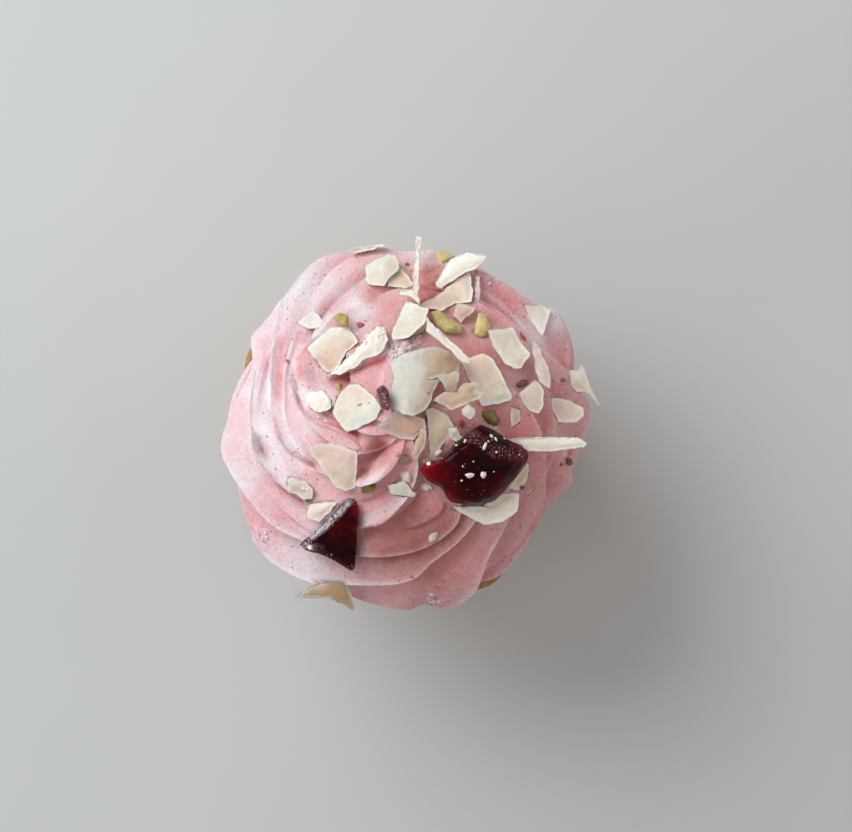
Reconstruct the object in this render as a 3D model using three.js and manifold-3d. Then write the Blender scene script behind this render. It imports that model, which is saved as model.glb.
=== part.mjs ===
// A cupcake: a bare sponge cake under a piped swirl of pink cream, strewn with
// coconut chips, two pieces of dark red fruit jelly, pistachio pieces and a berry.
//
// Units are millimetres and +Z is up. The origin is the centre of the flat base.
// Bearings are degrees clockwise from +X as seen from above.

import * as THREE from "three";
import { mergeVertices } from "three/addons/utils/BufferGeometryUtils.js";
import Module from "manifold-3d";

const wasm = await Module();
wasm.setup();

// ---------- driving dimensions ----------

const baseRadius = 24.5; // cake, where it stands
const wallTopRadius = 30.6; // cake, where the crown starts to swell
const crownRadius = 32.2; // cake, at its widest
const crownHeight = 37.2; // height of the widest ring of the crown
const cakeTopHeight = 42.4; // middle of the cake under the cream
const wallFlutes = 28; // creases left by the tin round the wall
const wallFluteDepth = 0.35;
// The crown has risen unevenly: [bearing, width in degrees, how far it stands out].
const crownBulges = [[62, 13, 3.4], [206, 12, 2.7], [135, 30, 0.8], [270, 25, 0.6], [335, 30, 0.5]];

const gap = 0.3; // clearance between pieces that touch
const creamTopHeight = 70.5; // peak of the swirl

// The cream's outer profile, level by level from its foot on the cake to the peak.
const levelRadius = [31.0, 34.5, 36.2, 34.3, 31.9, 29.8, 26.8, 20.8, 14.9, 7.9, 0];
const levelHeight = [39.9, 42.8, 46.0, 49.8, 52.4, 54.4, 57.0, 61.6, 65.4, 68.8, creamTopHeight];
const fluteDepth = [0.7, 2.0, 2.7, 2.6, 2.3, 2.1, 1.9, 1.8, 1.6, 1.1, 0];
// How far across each petal its deepest line has moved towards the next ridge.
const fluteSkew = [1.7, 1.7, 1.7, 2.0, 2.4, 2.6, 2.8, 2.8, 2.5, 2.1, 1.7];
// How much of each ridge's reach shows at a level.
const reachShare = [0.8, 1, 1, 0.7, 0.3, 0, 0, 0, 0, 0, 0];
const lastLevel = levelRadius.length - 1;

// Where the rim draws in between its lobes, or out below zero: [bearing, width in degrees, depth].
const rimDents = [
  [17, 7, -0.8], [29, 8, 1.3], [46, 6, -1.0], [84, 4, 1.4], [182, 8, 0.6], [226, 5, -0.9], [270, 7, 1.1],
  [316, 7, 1.3], [345, 5, 1.1],
];

// Each ridge starts under the rim and winds inward over the levels. `reach` is how
// far it stands out at the rim from the mean, and `depth` scales the flute beside it.
const ridges = [
  { reach: -2.3, depth: 0.8, bearings: [44, 32, 20, 14, 6, -7, -35, -70, -95, -120] },
  { reach: -1.5, depth: 0.8, bearings: [82, 70, 58, 49, 33, 26, 6, -25, -50, -75] },
  { reach: 0.5, depth: 0.9, bearings: [102, 90, 77, 68, 63, 58, 43, 15, -10, -35] },
  { reach: 1.3, depth: 1.0, bearings: [164, 152, 139, 121, 109, 89, 80, 45, 25, 5] },
  { reach: 0.5, depth: 0.7, bearings: [200, 188, 175, 161, 143, 133, 113, 62, 50, 35] },
  { reach: -0.9, depth: 1.1, bearings: [238, 226, 212, 207, 200, 173, 158, 113, 96, 75] },
  { reach: 1.3, depth: 0.9, bearings: [268, 257, 244, 230, 219, 208, 194, 163, 135, 111] },
  { reach: 0.1, depth: 0.9, bearings: [290, 278, 264, 246, 237, 229, 213, 194, 172, 145] },
  { reach: 1.5, depth: 1.2, bearings: [350, 338, 324, 311, 268, 250, 231, 215, 200, 175] },
  { reach: 0.2, depth: 1.0, bearings: [378, 367, 354, 343, 334, 318, 265, 240, 225, 205] },
];

// The upper turn of the swirl lies on the lower one along a seam that winds inward.
const seamBearing = [430, 417, 387, 353, 316, 275, 238, 200, 165, 140, 118];
const seamLevel = [2.4, 3.2, 4.6, 4.9, 5.1, 5.6, 6.0, 6.4, 7.1, 8.0, 9.6];
const seamDrop = 1.3; // how far the lower turn dips beside the seam
const seamRise = 0.7; // how far the upper turn swells beside it

const columnsPerPetal = 6;
const creamRows = 29;

const chipThickness = 0.9;

const random = seededRandom(7);

// ---------- colours ----------

const creamFinish = new THREE.MeshStandardMaterial({ color: 0xe8b9be, roughness: 0.55 });
const spongeFinish = new THREE.MeshStandardMaterial({ color: 0xb5783c, roughness: 0.8 });
const coconutFinish = new THREE.MeshStandardMaterial({ color: 0xefe9dc, roughness: 0.6 });
const jellyFinish = new THREE.MeshStandardMaterial({ color: 0x5a0512, roughness: 0.15 });
const pistachioFinish = new THREE.MeshStandardMaterial({ color: 0xc3b25e, roughness: 0.6 });
const berryFinish = new THREE.MeshStandardMaterial({ color: 0x7a1226, roughness: 0.4 });

// ---------- small helpers ----------

function seededRandom(seed) {
  let state = seed;
  return () => {
    state = (state * 16807) % 2147483647;
    return state / 2147483647;
  };
}

function mix(a, b, t) {
  return a + (b - a) * t;
}

// Smooth curve through evenly spaced values, read at a fractional index.
function smoothValue(values, at) {
  const last = values.length - 1;
  const i = Math.min(Math.floor(at), last - 1);
  const t = at - i;
  const p1 = values[i];
  const p2 = values[i + 1];
  const p0 = i > 0 ? values[i - 1] : 2 * p1 - p2;
  const p3 = i < last - 1 ? values[i + 2] : 2 * p2 - p1;
  const m1 = limitedSlope(p1 - p0, p2 - p1);
  const m2 = limitedSlope(p2 - p1, p3 - p2);
  const t2 = t * t;
  const t3 = t2 * t;
  return (2 * t3 - 3 * t2 + 1) * p1 + (t3 - 2 * t2 + t) * m1 + (3 * t2 - 2 * t3) * p2 + (t3 - t2) * m2;
}

// The slope at a point between two steps, kept from overshooting either.
function limitedSlope(before, after) {
  if (before * after <= 0) return 0;
  return (2 * before * after) / (before + after);
}

// Piecewise linear reading of y over x, where x falls.
function readFalling(xs, ys, x) {
  for (let i = 0; i < xs.length - 1; i++) {
    if (x <= xs[i] && x >= xs[i + 1]) {
      return mix(ys[i], ys[i + 1], (xs[i] - x) / (xs[i] - xs[i + 1]));
    }
  }
  return x > xs[0] ? ys[0] : ys[ys.length - 1];
}

function meshGeometry(points, triangles) {
  const geometry = new THREE.BufferGeometry();
  geometry.setAttribute("position", new THREE.Float32BufferAttribute(points.flat(), 3));
  geometry.setIndex(triangles.flat());
  if (signedVolume(points, triangles) < 0) {
    geometry.setIndex(triangles.map(([a, b, c]) => [a, c, b]).flat());
  }
  return geometry;
}

function signedVolume(points, triangles) {
  let sum = 0;
  for (const [a, b, c] of triangles) {
    const [p, q, r] = [points[a], points[b], points[c]];
    sum += p[0] * (q[1] * r[2] - q[2] * r[1]);
    sum += p[1] * (q[2] * r[0] - q[0] * r[2]);
    sum += p[2] * (q[0] * r[1] - q[1] * r[0]);
  }
  return sum / 6;
}

// ---------- booleans ----------

function toSolid(geometry) {
  const bare = geometry.clone();
  bare.deleteAttribute("normal");
  bare.deleteAttribute("uv");
  const merged = mergeVertices(bare, 1e-4);
  return new wasm.Manifold(
    new wasm.Mesh({
      numProp: 3,
      vertProperties: new Float32Array(merged.attributes.position.array),
      triVerts: new Uint32Array(merged.index.array),
    })
  );
}

function toGeometry(solid) {
  const mesh = solid.getMesh();
  const geometry = new THREE.BufferGeometry();
  geometry.setAttribute("position", new THREE.BufferAttribute(new Float32Array(mesh.vertProperties), 3));
  geometry.setIndex(new THREE.BufferAttribute(new Uint32Array(mesh.triVerts), 1));
  return geometry;
}

function largestBody(solid) {
  const bodies = solid.decompose();
  return bodies.reduce((best, body) => (body.volume() > best.volume() ? body : best));
}

// ---------- cake ----------

// Height of the cake's top at a distance from the axis.
function cakeTop(radius) {
  const flatTo = 29.4;
  const fall = 2.2;
  if (radius <= flatTo) return cakeTopHeight - fall * (radius / flatTo) ** 2;
  const t = Math.min(1, (radius - flatTo) / (crownRadius - flatTo));
  return mix(crownHeight, cakeTopHeight - fall, Math.sqrt(1 - t * t));
}

// Sum of the bulges or dents of a rim at a bearing.
function bulgeAt(bulges, bearing) {
  return bulges.reduce((sum, [middle, width, size]) => {
    const away = ((((bearing - middle) % 360) + 540) % 360) - 180;
    return sum + size * Math.exp(-((away / width) ** 2));
  }, 0);
}

function makeCake() {
  const rings = [];
  const footRound = 1.4;
  rings.push([baseRadius - footRound, 0, 0]);
  rings.push([baseRadius, footRound, 0.3]);
  const wallRings = 3;
  const wallTop = crownHeight - 4.2;
  for (let i = 1; i <= wallRings; i++) {
    const t = i / wallRings;
    rings.push([mix(baseRadius, wallTopRadius, t), mix(footRound, wallTop, t), i < wallRings ? 1 : 0.6]);
  }
  rings.push([crownRadius - 0.5, crownHeight - 2.2, 0.1]);
  for (const radius of [crownRadius, crownRadius - 0.5, 29.4, 18]) rings.push([radius, cakeTop(radius), 0]);
  const around = wallFlutes * 2;
  const points = [[0, 0, 0]];
  for (const [radius, height, fluted] of rings) {
    for (let j = 0; j < around; j++) {
      const turn = (j / around) * Math.PI * 2;
      const crease = j % 2 ? wallFluteDepth * fluted : -wallFluteDepth * fluted;
      const crown = Math.exp(-(((height - crownHeight) / (height > crownHeight ? 2 : 3.5)) ** 2));
      const r = radius + crease + crown * bulgeAt(crownBulges, (-turn * 180) / Math.PI);
      points.push([r * Math.cos(turn), r * Math.sin(turn), height]);
    }
  }
  points.push([0, 0, cakeTop(0)]);
  return meshGeometry(points, ringTriangles(rings.length, around));
}

// Triangles of a stack of closed rings between a first and a last single point.
function ringTriangles(ringCount, around) {
  const triangles = [];
  const last = ringCount * around + 1;
  for (let j = 0; j < around; j++) {
    const k = (j + 1) % around;
    triangles.push([0, 1 + k, 1 + j]);
    for (let i = 0; i < ringCount - 1; i++) {
      const a = 1 + i * around + j;
      const b = 1 + i * around + k;
      triangles.push([a, b, b + around], [a, b + around, a + around]);
    }
    const top = 1 + (ringCount - 1) * around;
    triangles.push([top + j, top + k, last]);
  }
  return triangles;
}

// ---------- cream ----------

function ridgeBearing(index, level) {
  const turn = Math.floor(index / ridges.length);
  const ridge = ridges[index - turn * ridges.length];
  const peakBearing = ridge.bearings[lastLevel - 1] - 20;
  return smoothValue([...ridge.bearings, peakBearing], level) + 360 * turn;
}

// Across a petal the surface leaves its own ridge gently and dives under the next one.
function fluteShape(across, level) {
  return Math.sin(Math.PI * across ** smoothValue(fluteSkew, level));
}

// How far the turn's seam lifts or lowers the surface at a bearing and level.
function seamOffset(bearing, level) {
  let turned = bearing;
  while (turned < seamBearing[seamBearing.length - 1]) turned += 360;
  while (turned > seamBearing[0]) turned -= 360;
  if (turned < seamBearing[seamBearing.length - 1]) return 0;
  const fade = Math.min(1, (turned - seamBearing[seamBearing.length - 1]) / 30);
  const inward = level - readFalling(seamBearing, seamLevel, turned);
  const upper = 0.5 + 0.5 * Math.tanh(inward / 0.2);
  const drop = -seamDrop * Math.exp(-Math.abs(inward) / 0.8);
  const rise = seamRise * Math.exp(-Math.abs(inward) / 1.2);
  return fade * mix(drop, rise, upper);
}

function creamPoint(petal, across, level) {
  const ridge = ridges[petal % ridges.length];
  const next = ridges[(petal + 1) % ridges.length];
  const bearing = mix(ridgeBearing(petal, level), ridgeBearing(petal + 1, level), across);
  const radius = smoothValue(levelRadius, level);
  const height = smoothValue(levelHeight, level);
  const step = 0.05;
  const before = Math.max(0, level - step);
  const after = Math.min(lastLevel, level + step);
  const alongRadius = smoothValue(levelRadius, after) - smoothValue(levelRadius, before);
  const alongHeight = smoothValue(levelHeight, after) - smoothValue(levelHeight, before);
  const length = Math.hypot(alongRadius, alongHeight);
  const depth = smoothValue(fluteDepth, level) * mix(ridge.depth, next.depth, across);
  const offset = seamOffset(bearing, level) * (level < lastLevel ? 1 : 0) - depth * fluteShape(across, level);
  const reach = mix(ridge.reach, next.reach, across) * smoothValue(reachShare, level);
  const dent = bulgeAt(rimDents, bearing) * smoothValue(reachShare, level);
  const r = radius + (alongHeight / length) * offset + reach - dent;
  const z = height - (alongRadius / length) * offset;
  const turn = (-bearing * Math.PI) / 180;
  return [r * Math.cos(turn), r * Math.sin(turn), Math.max(z, cakeTop(Math.min(r, crownRadius)) + gap)];
}

function makeCream() {
  const around = ridges.length * columnsPerPetal;
  const points = [[0, 0, cakeTop(0) + gap]];
  const underRadii = [10, 20, 27];
  for (const radius of underRadii) {
    for (let j = 0; j < around; j++) {
      const [x, y] = columnPoint(j, 0);
      const scale = radius / Math.hypot(x, y);
      points.push([x * scale, y * scale, cakeTop(radius) + gap]);
    }
  }
  for (let i = 0; i < creamRows; i++) {
    for (let j = 0; j < around; j++) points.push(columnPoint(j, (i / creamRows) * lastLevel));
  }
  points.push([0, 0, creamTopHeight]);
  return meshGeometry(points, ringTriangles(underRadii.length + creamRows, around));
}

// Columns crowd towards the steep side of each flute.
function columnPoint(column, level) {
  const petal = Math.floor(column / columnsPerPetal);
  const across = Math.sin(((column % columnsPerPetal) / columnsPerPetal) * Math.PI * 0.5);
  return creamPoint(petal, across, level);
}

// Mean height of the cream above a point in plan.
function creamHeight(x, y) {
  const radius = Math.hypot(x, y);
  let low = 2;
  let high = lastLevel;
  for (let i = 0; i < 24; i++) {
    const middle = (low + high) / 2;
    if (smoothValue(levelRadius, middle) > radius) low = middle;
    else high = middle;
  }
  const bearing = (-Math.atan2(y, x) * 180) / Math.PI;
  return smoothValue(levelHeight, low) - 0.45 * smoothValue(fluteDepth, low) + seamOffset(bearing, low);
}

// ---------- chips, jelly and nuts ----------

function centreOf(outline) {
  const x = outline.reduce((sum, p) => sum + p[0], 0) / outline.length;
  const y = outline.reduce((sum, p) => sum + p[1], 0) / outline.length;
  return [x, y];
}

// The outline with points added so that no side is longer than `longest`.
function withMorePoints(outline, longest) {
  const result = [];
  outline.forEach(([x, y], i) => {
    const [nextX, nextY] = outline[(i + 1) % outline.length];
    const pieces = Math.max(1, Math.ceil(Math.hypot(nextX - x, nextY - y) / longest));
    for (let k = 0; k < pieces; k++) result.push([mix(x, nextX, k / pieces), mix(y, nextY, k / pieces)]);
  });
  return result;
}

// The way out from an outline at each of its points, longer at a sharp corner.
function outwardAt(outline) {
  const area = outline.reduce((sum, [x, y], i) => {
    const [nextX, nextY] = outline[(i + 1) % outline.length];
    return sum + x * nextY - nextX * y;
  }, 0);
  const side = Math.sign(area);
  const sideNormal = ([ax, ay], [bx, by]) => {
    const length = Math.hypot(bx - ax, by - ay);
    return [(side * (by - ay)) / length, (-side * (bx - ax)) / length];
  };
  return outline.map((point, i) => {
    const before = sideNormal(outline[(i + outline.length - 1) % outline.length], point);
    const after = sideNormal(point, outline[(i + 1) % outline.length]);
    const x = before[0] + after[0];
    const y = before[1] + after[1];
    const scale = Math.min(2, 2 / (x * x + y * y));
    return [x * scale, y * scale];
  });
}

// A thin wavy solid: one sheet of triangles above, the same below, and an edge between.
function sheetGeometry(chip, grow) {
  const [centreX, centreY] = chip.middle;
  const half = (chip.thickness ?? chipThickness) / 2 + grow;
  const size = Math.max(...chip.outline.map(([x, y]) => Math.hypot(x - centreX, y - centreY)));
  const edge = withMorePoints(chip.outline, 3.2);
  const outward = outwardAt(edge);
  const scales = size > 6 ? [1, 0.66, 0.33] : [1, 0.5];
  const points = [];
  for (const side of [1, -1]) {
    for (const scale of scales) {
      edge.forEach(([x, y], j) => {
        const px = centreX + (x - centreX + outward[j][0] * grow) * scale;
        const py = centreY + (y - centreY + outward[j][1] * grow) * scale;
        points.push([px, py, chip.height(px, py) + side * half]);
      });
    }
    points.push([centreX, centreY, chip.height(centreX, centreY) + side * half]);
  }
  const count = edge.length;
  const perSide = count * scales.length + 1;
  const triangles = [];
  for (let j = 0; j < count; j++) {
    const k = (j + 1) % count;
    triangles.push([j, perSide + j, perSide + k], [j, perSide + k, k]);
    for (let side = 0; side < 2; side++) {
      const first = side * perSide;
      const addTriangle = (a, b, c) => triangles.push(side ? [c, b, a] : [a, b, c]);
      for (let ring = 0; ring < scales.length - 1; ring++) {
        const outer = first + ring * count;
        const inner = outer + count;
        addTriangle(outer + j, outer + k, inner + k);
        addTriangle(outer + j, inner + k, inner + j);
      }
      const inmost = first + (scales.length - 1) * count;
      addTriangle(inmost + j, inmost + k, first + perSide - 1);
    }
  }
  return meshGeometry(points, triangles);
}

// A solid lump: the outline repeated at several heights and widths, closed by two points.
function lumpGeometry(lump, grow) {
  const [centreX, centreY] = lump.middle;
  const { rings, crown, roughness, sides, lean = [0, 0] } = lump.shape;
  const edge = withMorePoints(lump.outline, sides);
  const outward = outwardAt(edge);
  const points = [[centreX, centreY, lump.height(centreX, centreY) - grow]];
  rings.forEach(([scale, up], ring) => {
    edge.forEach(([x, y], j) => {
      const dent = roughness * lump.dents[ring][j];
      const px = centreX + (x - centreX) * scale + outward[j][0] * (grow + dent * 0.5) + lean[0] * up;
      const py = centreY + (y - centreY) * scale + outward[j][1] * (grow + dent * 0.5) + lean[1] * up;
      const grown = up + grow * (ring < rings.length / 2 ? -1 : 1);
      points.push([px, py, lump.height(px, py) + grown + dent * 0.6]);
    });
  });
  const top = rings[rings.length - 1][1] + crown;
  const tipX = centreX + lean[0] * top;
  const tipY = centreY + lean[1] * top;
  points.push([tipX, tipY, lump.height(tipX, tipY) + top + grow]);
  return meshGeometry(points, ringTriangles(rings.length, edge.length));
}

// Heights of the pieces laid so far, as functions of the plan position.
const laid = [];

function sampleInside(outline, middle) {
  const samples = [middle];
  for (const [x, y] of withMorePoints(outline, 1.5)) {
    for (const share of [0.3, 0.6, 0.85, 1.02]) {
      samples.push([mix(middle[0], x, share), mix(middle[1], y, share)]);
    }
  }
  return samples;
}

function contains(outline, x, y, margin) {
  const [cx, cy] = centreOf(outline);
  let inside = false;
  const grown = outline.map(([px, py]) => {
    const reach = Math.hypot(px - cx, py - cy);
    return [cx + (px - cx) * (1 + margin / reach), cy + (py - cy) * (1 + margin / reach)];
  });
  for (let i = 0, j = grown.length - 1; i < grown.length; j = i++) {
    const [ax, ay] = grown[i];
    const [bx, by] = grown[j];
    if (ay > y !== by > y && x < ((bx - ax) * (y - ay)) / (by - ay) + ax) inside = !inside;
  }
  return inside;
}

// Height of what a piece can rest on: the cream, sunk a little, or a piece laid before.
function supportAt(x, y, sink) {
  return laid.reduce(
    (height, other) => (contains(other.outline, x, y, 0.35) ? Math.max(height, other.top(x, y) + 0.4) : height),
    creamHeight(x, y) - sink
  );
}

// The slopes of the plane nearest to what lies under a piece.
function slopesUnder(samples, sink) {
  const [meanX, meanY] = centreOf(samples);
  let [xx, xy, yy, xz, yz] = [0, 0, 0, 0, 0];
  for (const [x, y] of samples) {
    const height = supportAt(x, y, sink);
    xx += (x - meanX) ** 2;
    xy += (x - meanX) * (y - meanY);
    yy += (y - meanY) ** 2;
    xz += (x - meanX) * height;
    yz += (y - meanY) * height;
  }
  const scale = xx * yy - xy * xy;
  return [(xz * yy - yz * xy) / scale, (yz * xx - xz * xy) / scale];
}

// The shape a piece lies in: the fall of what it rests on, an extra tilt, and a bend.
function lyingShape(piece, slopes) {
  const [x0, y0] = piece.middle;
  const follow = piece.follow ?? 0.8;
  const [tiltX, tiltY] = piece.tilt ?? [0, 0];
  const bendTurn = (-(piece.bendBearing ?? 0) * Math.PI) / 180;
  return (x, y) => {
    const along = (x - x0) * Math.cos(bendTurn) + (y - y0) * Math.sin(bendTurn);
    const flat = (follow * slopes[0] + tiltX) * (x - x0) + (follow * slopes[1] + tiltY) * (y - y0);
    return flat + (piece.bend ?? 0) * along * along;
  };
}

// Lowers a piece until it meets the cream, sunk a little, or a piece laid before.
function layPiece(piece, undersideAt) {
  piece.middle = centreOf(piece.outline);
  const sink = piece.sink ?? 0.7;
  const samples = sampleInside(piece.outline, piece.middle);
  const shape = lyingShape(piece, slopesUnder(samples, sink));
  let lift = piece.rest ?? -Infinity;
  for (const [x, y] of samples) {
    const height = piece.rest === undefined ? supportAt(x, y, sink) : supportAt(x, y, 100);
    lift = Math.max(lift, height - shape(x, y) - undersideAt);
  }
  piece.height = (x, y) => lift + shape(x, y);
}

function addChip(group, chip) {
  const half = (chip.thickness ?? chipThickness) / 2;
  chip.follow ??= 0.7;
  layPiece(chip, -half);
  laid.push({ outline: chip.outline, top: (x, y) => chip.height(x, y) + half });
  addPiece(group, chip, sheetGeometry, coconutFinish);
}

function layLump(lump) {
  layPiece(lump, 0);
  const { rings, crown } = lump.shape;
  const mostPoints = 48;
  lump.dents = rings.map(() => Array.from({ length: mostPoints }, () => random() - 0.5));
  return rings[rings.length - 1][1] + crown;
}

function addLump(group, lump, finish) {
  const top = layLump(lump);
  if (!lump.cutsOthers) laid.push({ outline: lump.outline, top: (x, y) => lump.height(x, y) + top });
  addPiece(group, lump, lumpGeometry, finish);
}

function makeBit(bit) {
  const lump = { ...bit, shape: bitShape, sink: 0.8 };
  layLump(lump);
  return lumpGeometry(lump, 0);
}

const pockets = [];
const cutters = [];

// Adds a piece, trimmed where it meets a lump that cuts others, and keeps its pocket.
function addPiece(group, piece, geometryOf, finish) {
  let geometry = geometryOf(piece, 0);
  const solid = toSolid(geometry);
  for (const cutter of cutters) {
    if (solid.intersect(cutter).isEmpty()) continue;
    geometry = toGeometry(largestBody(solid.subtract(cutter)));
  }
  const mesh = new THREE.Mesh(geometry, finish);
  mesh.name = piece.name;
  group.add(mesh);
  const pocket = toSolid(geometryOf(piece, gap));
  pockets.push(pocket);
  if (piece.cutsOthers) cutters.push(pocket);
}

// ---------- toppings ----------
//
// Pieces are listed in the order they lie, from the lowest up, with their outlines in
// plan. `tilt` adds to the fall of the cream, in mm of height per mm along +X and +Y.
// `bend` curves a chip along `bendBearing`, upwards when it is positive.

const centrePieces = [
  {
    name: "coconut_17",
    outline: [[-5.6, 0.2], [-2.0, 3.6], [2.2, 2.2], [3.8, 1.8], [3.8, -0.2], [1.6, -2.2], [-1.6, -1.8]],
    tilt: [-0.1, 0.25],
    bend: 0.02,
  },
  {
    name: "coconut_15",
    outline: [[3.0, -0.2], [4.0, -0.4], [3.8, -3.4], [2.2, -6.2], [1.0, -5.4], [2.2, -2.2]],
    thickness: 1.3,
  },
  {
    name: "coconut_16",
    outline: [[4.0, 3.6], [5.4, 4.0], [8.3, 2.4], [9.5, 0.4], [8.7, -1.2], [6.3, -4.4], [4.8, -6.0], [4.6, -2.8]],
    tilt: [-0.1, 0.1],
    bend: -0.02,
  },
  {
    name: "coconut_04",
    outline: [[10.7, 13.3], [12.9, 14.1], [15.1, 14.7], [17.1, 13.5], [18.8, 10.5], [20.8, 6.2], [20.6, 5.4],
      [15.1, 4.2], [14.1, 5.6]],
    bend: -0.012,
    bendBearing: 40,
    follow: 0.4,
  },
  {
    name: "coconut_01",
    outline: [[-3.2, 12.7], [-1.6, 14.1], [3.8, 15.7], [5.8, 16.1], [8.9, 15.1], [10.5, 12.7], [10.3, 10.9],
      [6.9, 9.7], [5.8, 7.7], [5.0, 5.6], [3.8, 3.6], [1.6, 2.4], [-0.6, 2.8], [-2.4, 4.0], [-3.2, 6.7],
      [-2.4, 9.7]],
    thickness: 1.1,
    tilt: [0.12, -0.05],
    bend: -0.035,
    bendBearing: 15,
  },
  {
    name: "coconut_03",
    outline: [[6.3, 10.1], [9.5, 10.9], [10.5, 10.7], [10.5, 9.5], [9.7, 7.3], [8.1, 7.3], [7.1, 8.7]],
    tilt: [0.1, 0.1],
  },
  {
    name: "coconut_02",
    outline: [[5.4, 5.6], [7.7, 7.1], [9.9, 7.1], [11.5, 8.7], [12.9, 9.1], [14.5, 8.7], [13.6, 7.4],
      [15.1, 6.9], [14.1, 5.6], [11.5, 4.6], [8.9, 3.6]],
    tilt: [-0.05, 0.2],
    bend: 0.012,
  },
  {
    name: "coconut_40",
    outline: [[10.9, 3.6], [12.3, 4.6], [13.5, 3.6], [13.5, 2.8], [12.5, 1.8], [11.1, 2.8]],
    thickness: 1.2,
  },
  {
    name: "coconut_39",
    outline: [[8.3, -0.2], [9.9, 0.2], [11.1, -2.2], [9.9, -2.8], [8.9, -1.8]],
    thickness: 1.4,
  },
];

const rightPieces = [
  {
    name: "coconut_05",
    outline: [[16.1, 19.2], [21.2, 19.8], [22.0, 17.5], [24.4, 14.7], [24.2, 14.1], [22.6, 11.9],
      [21.4, 11.7], [19.6, 12.5], [17.1, 16.1]],
    thickness: 1.6,
    follow: 0.4,
  },
  {
    name: "coconut_07",
    outline: [[20.4, 4.2], [22.6, 3.6], [22.6, 1.4], [20.8, 0.0]],
  },
  {
    name: "coconut_06",
    outline: [[25.4, 9.5], [26.4, 8.7], [27.2, 7.1], [27.0, 4.6], [26.2, 2.8], [24.4, 3.4], [22.0, 6.7]],
    tilt: [0.25, 0],
    follow: 0.4,
  },
  {
    name: "coconut_10",
    outline: [[24.8, 17.1], [25.6, 16.9], [28.0, 11.9], [28.4, 10.1], [28.4, 7.7], [26.2, 9.1], [25.4, 11.9]],
    follow: 0.4,
  },
  {
    name: "coconut_11",
    outline: [[23.6, 24.2], [26.6, 24.4], [28.6, 23.4], [28.0, 21.0], [27.0, 18.3], [24.2, 21.8]],
    follow: 0.4,
  },
  {
    name: "coconut_08",
    outline: [[28.6, 6.0], [32.5, 5.4], [34.9, 4.0], [35.1, 2.4], [33.7, 1.2], [30.0, 1.2], [29.0, 3.6]],
    follow: 0.4,
  },
  {
    name: "coconut_09",
    outline: [[32.3, 11.3], [34.3, 11.5], [34.9, 12.5], [35.5, 11.5], [36.3, 8.5], [38.5, 4.6], [38.1, 4.4],
      [36.7, 6.2], [35.3, 7.3], [33.7, 7.1], [32.7, 8.5]],
    follow: 0,
    tilt: [-0.45, 0.1],
  },
  {
    name: "coconut_12",
    outline: [[19.8, -2.0], [25.8, -1.8], [33.7, -1.8], [35.7, -3.0], [34.9, -3.8], [28.4, -4.6], [23.2, -4.4]],
    thickness: 1.2,
    follow: 0.15,
  },
  {
    name: "coconut_14",
    outline: [[20.4, -11.7], [24.0, -6.7], [24.4, -8.5], [23.2, -11.7], [22.0, -12.3]],
  },
  {
    name: "coconut_13",
    outline: [[8.5, -15.3], [10.5, -15.3], [15.3, -15.4], [18.3, -13.2], [20.8, -12.7], [22.2, -12.9],
      [22.2, -14.2], [21.8, -16.5], [19.2, -18.3], [15.3, -19.0], [13.1, -17.7], [10.7, -16.5]],
    thickness: 1.3,
    tilt: [0.05, -0.05],
    follow: 0.25,
    bend: 0.012,
  },
];

const upperPieces = [
  {
    name: "coconut_26",
    outline: [[9.9, 24.6], [11.5, 24.4], [13.7, 23.8], [12.9, 22.6], [10.9, 20.8], [9.3, 22.0]],
  },
  {
    name: "coconut_43",
    outline: [[13.7, 30.0], [14.5, 30.2], [14.6, 26.6], [14.3, 24.6], [13.7, 25.2]],
  },
  {
    name: "coconut_24",
    outline: [[5.8, 28.6], [7.7, 31.7], [8.9, 33.5], [12.1, 34.7], [16.1, 33.9], [14.1, 31.7], [10.1, 29.8],
      [7.1, 27.6], [6.0, 27.8]],
    tilt: [0.05, 0.12],
    follow: 0.3,
  },
  {
    name: "coconut_28",
    outline: [[-3.2, 29.8], [-1.0, 31.5], [1.4, 28.8], [0.8, 27.4], [-3.6, 28.0]],
  },
  {
    name: "coconut_27",
    outline: [[-8.1, 32.3], [-3.6, 34.5], [-2.0, 33.9], [-1.2, 31.5], [-3.2, 29.8], [-4.2, 28.0], [-7.7, 28.4]],
    tilt: [0.1, 0.1],
  },
  {
    name: "coconut_30",
    outline: [[-1.2, 27.0], [1.4, 27.2], [2.2, 26.4], [2.8, 24.2], [1.6, 25.2], [0.6, 25.9], [-1.2, 26.2]],
  },
  {
    name: "coconut_29",
    outline: [[2.0, 37.9], [3.2, 37.9], [2.8, 35.3], [2.6, 30.8], [2.4, 26.2], [1.4, 26.8], [1.4, 30.0],
      [1.8, 34.5]],
    thickness: 1.1,
    follow: 0.75,
  },
  {
    name: "coconut_31",
    outline: [[-12.1, 35.1], [-8.3, 35.9], [-4.2, 36.7], [-4.0, 36.1], [-7.3, 35.1], [-10.5, 34.5]],
    thickness: 2.6,
    rest: 48.2,
    follow: 0,
  },
];

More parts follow.
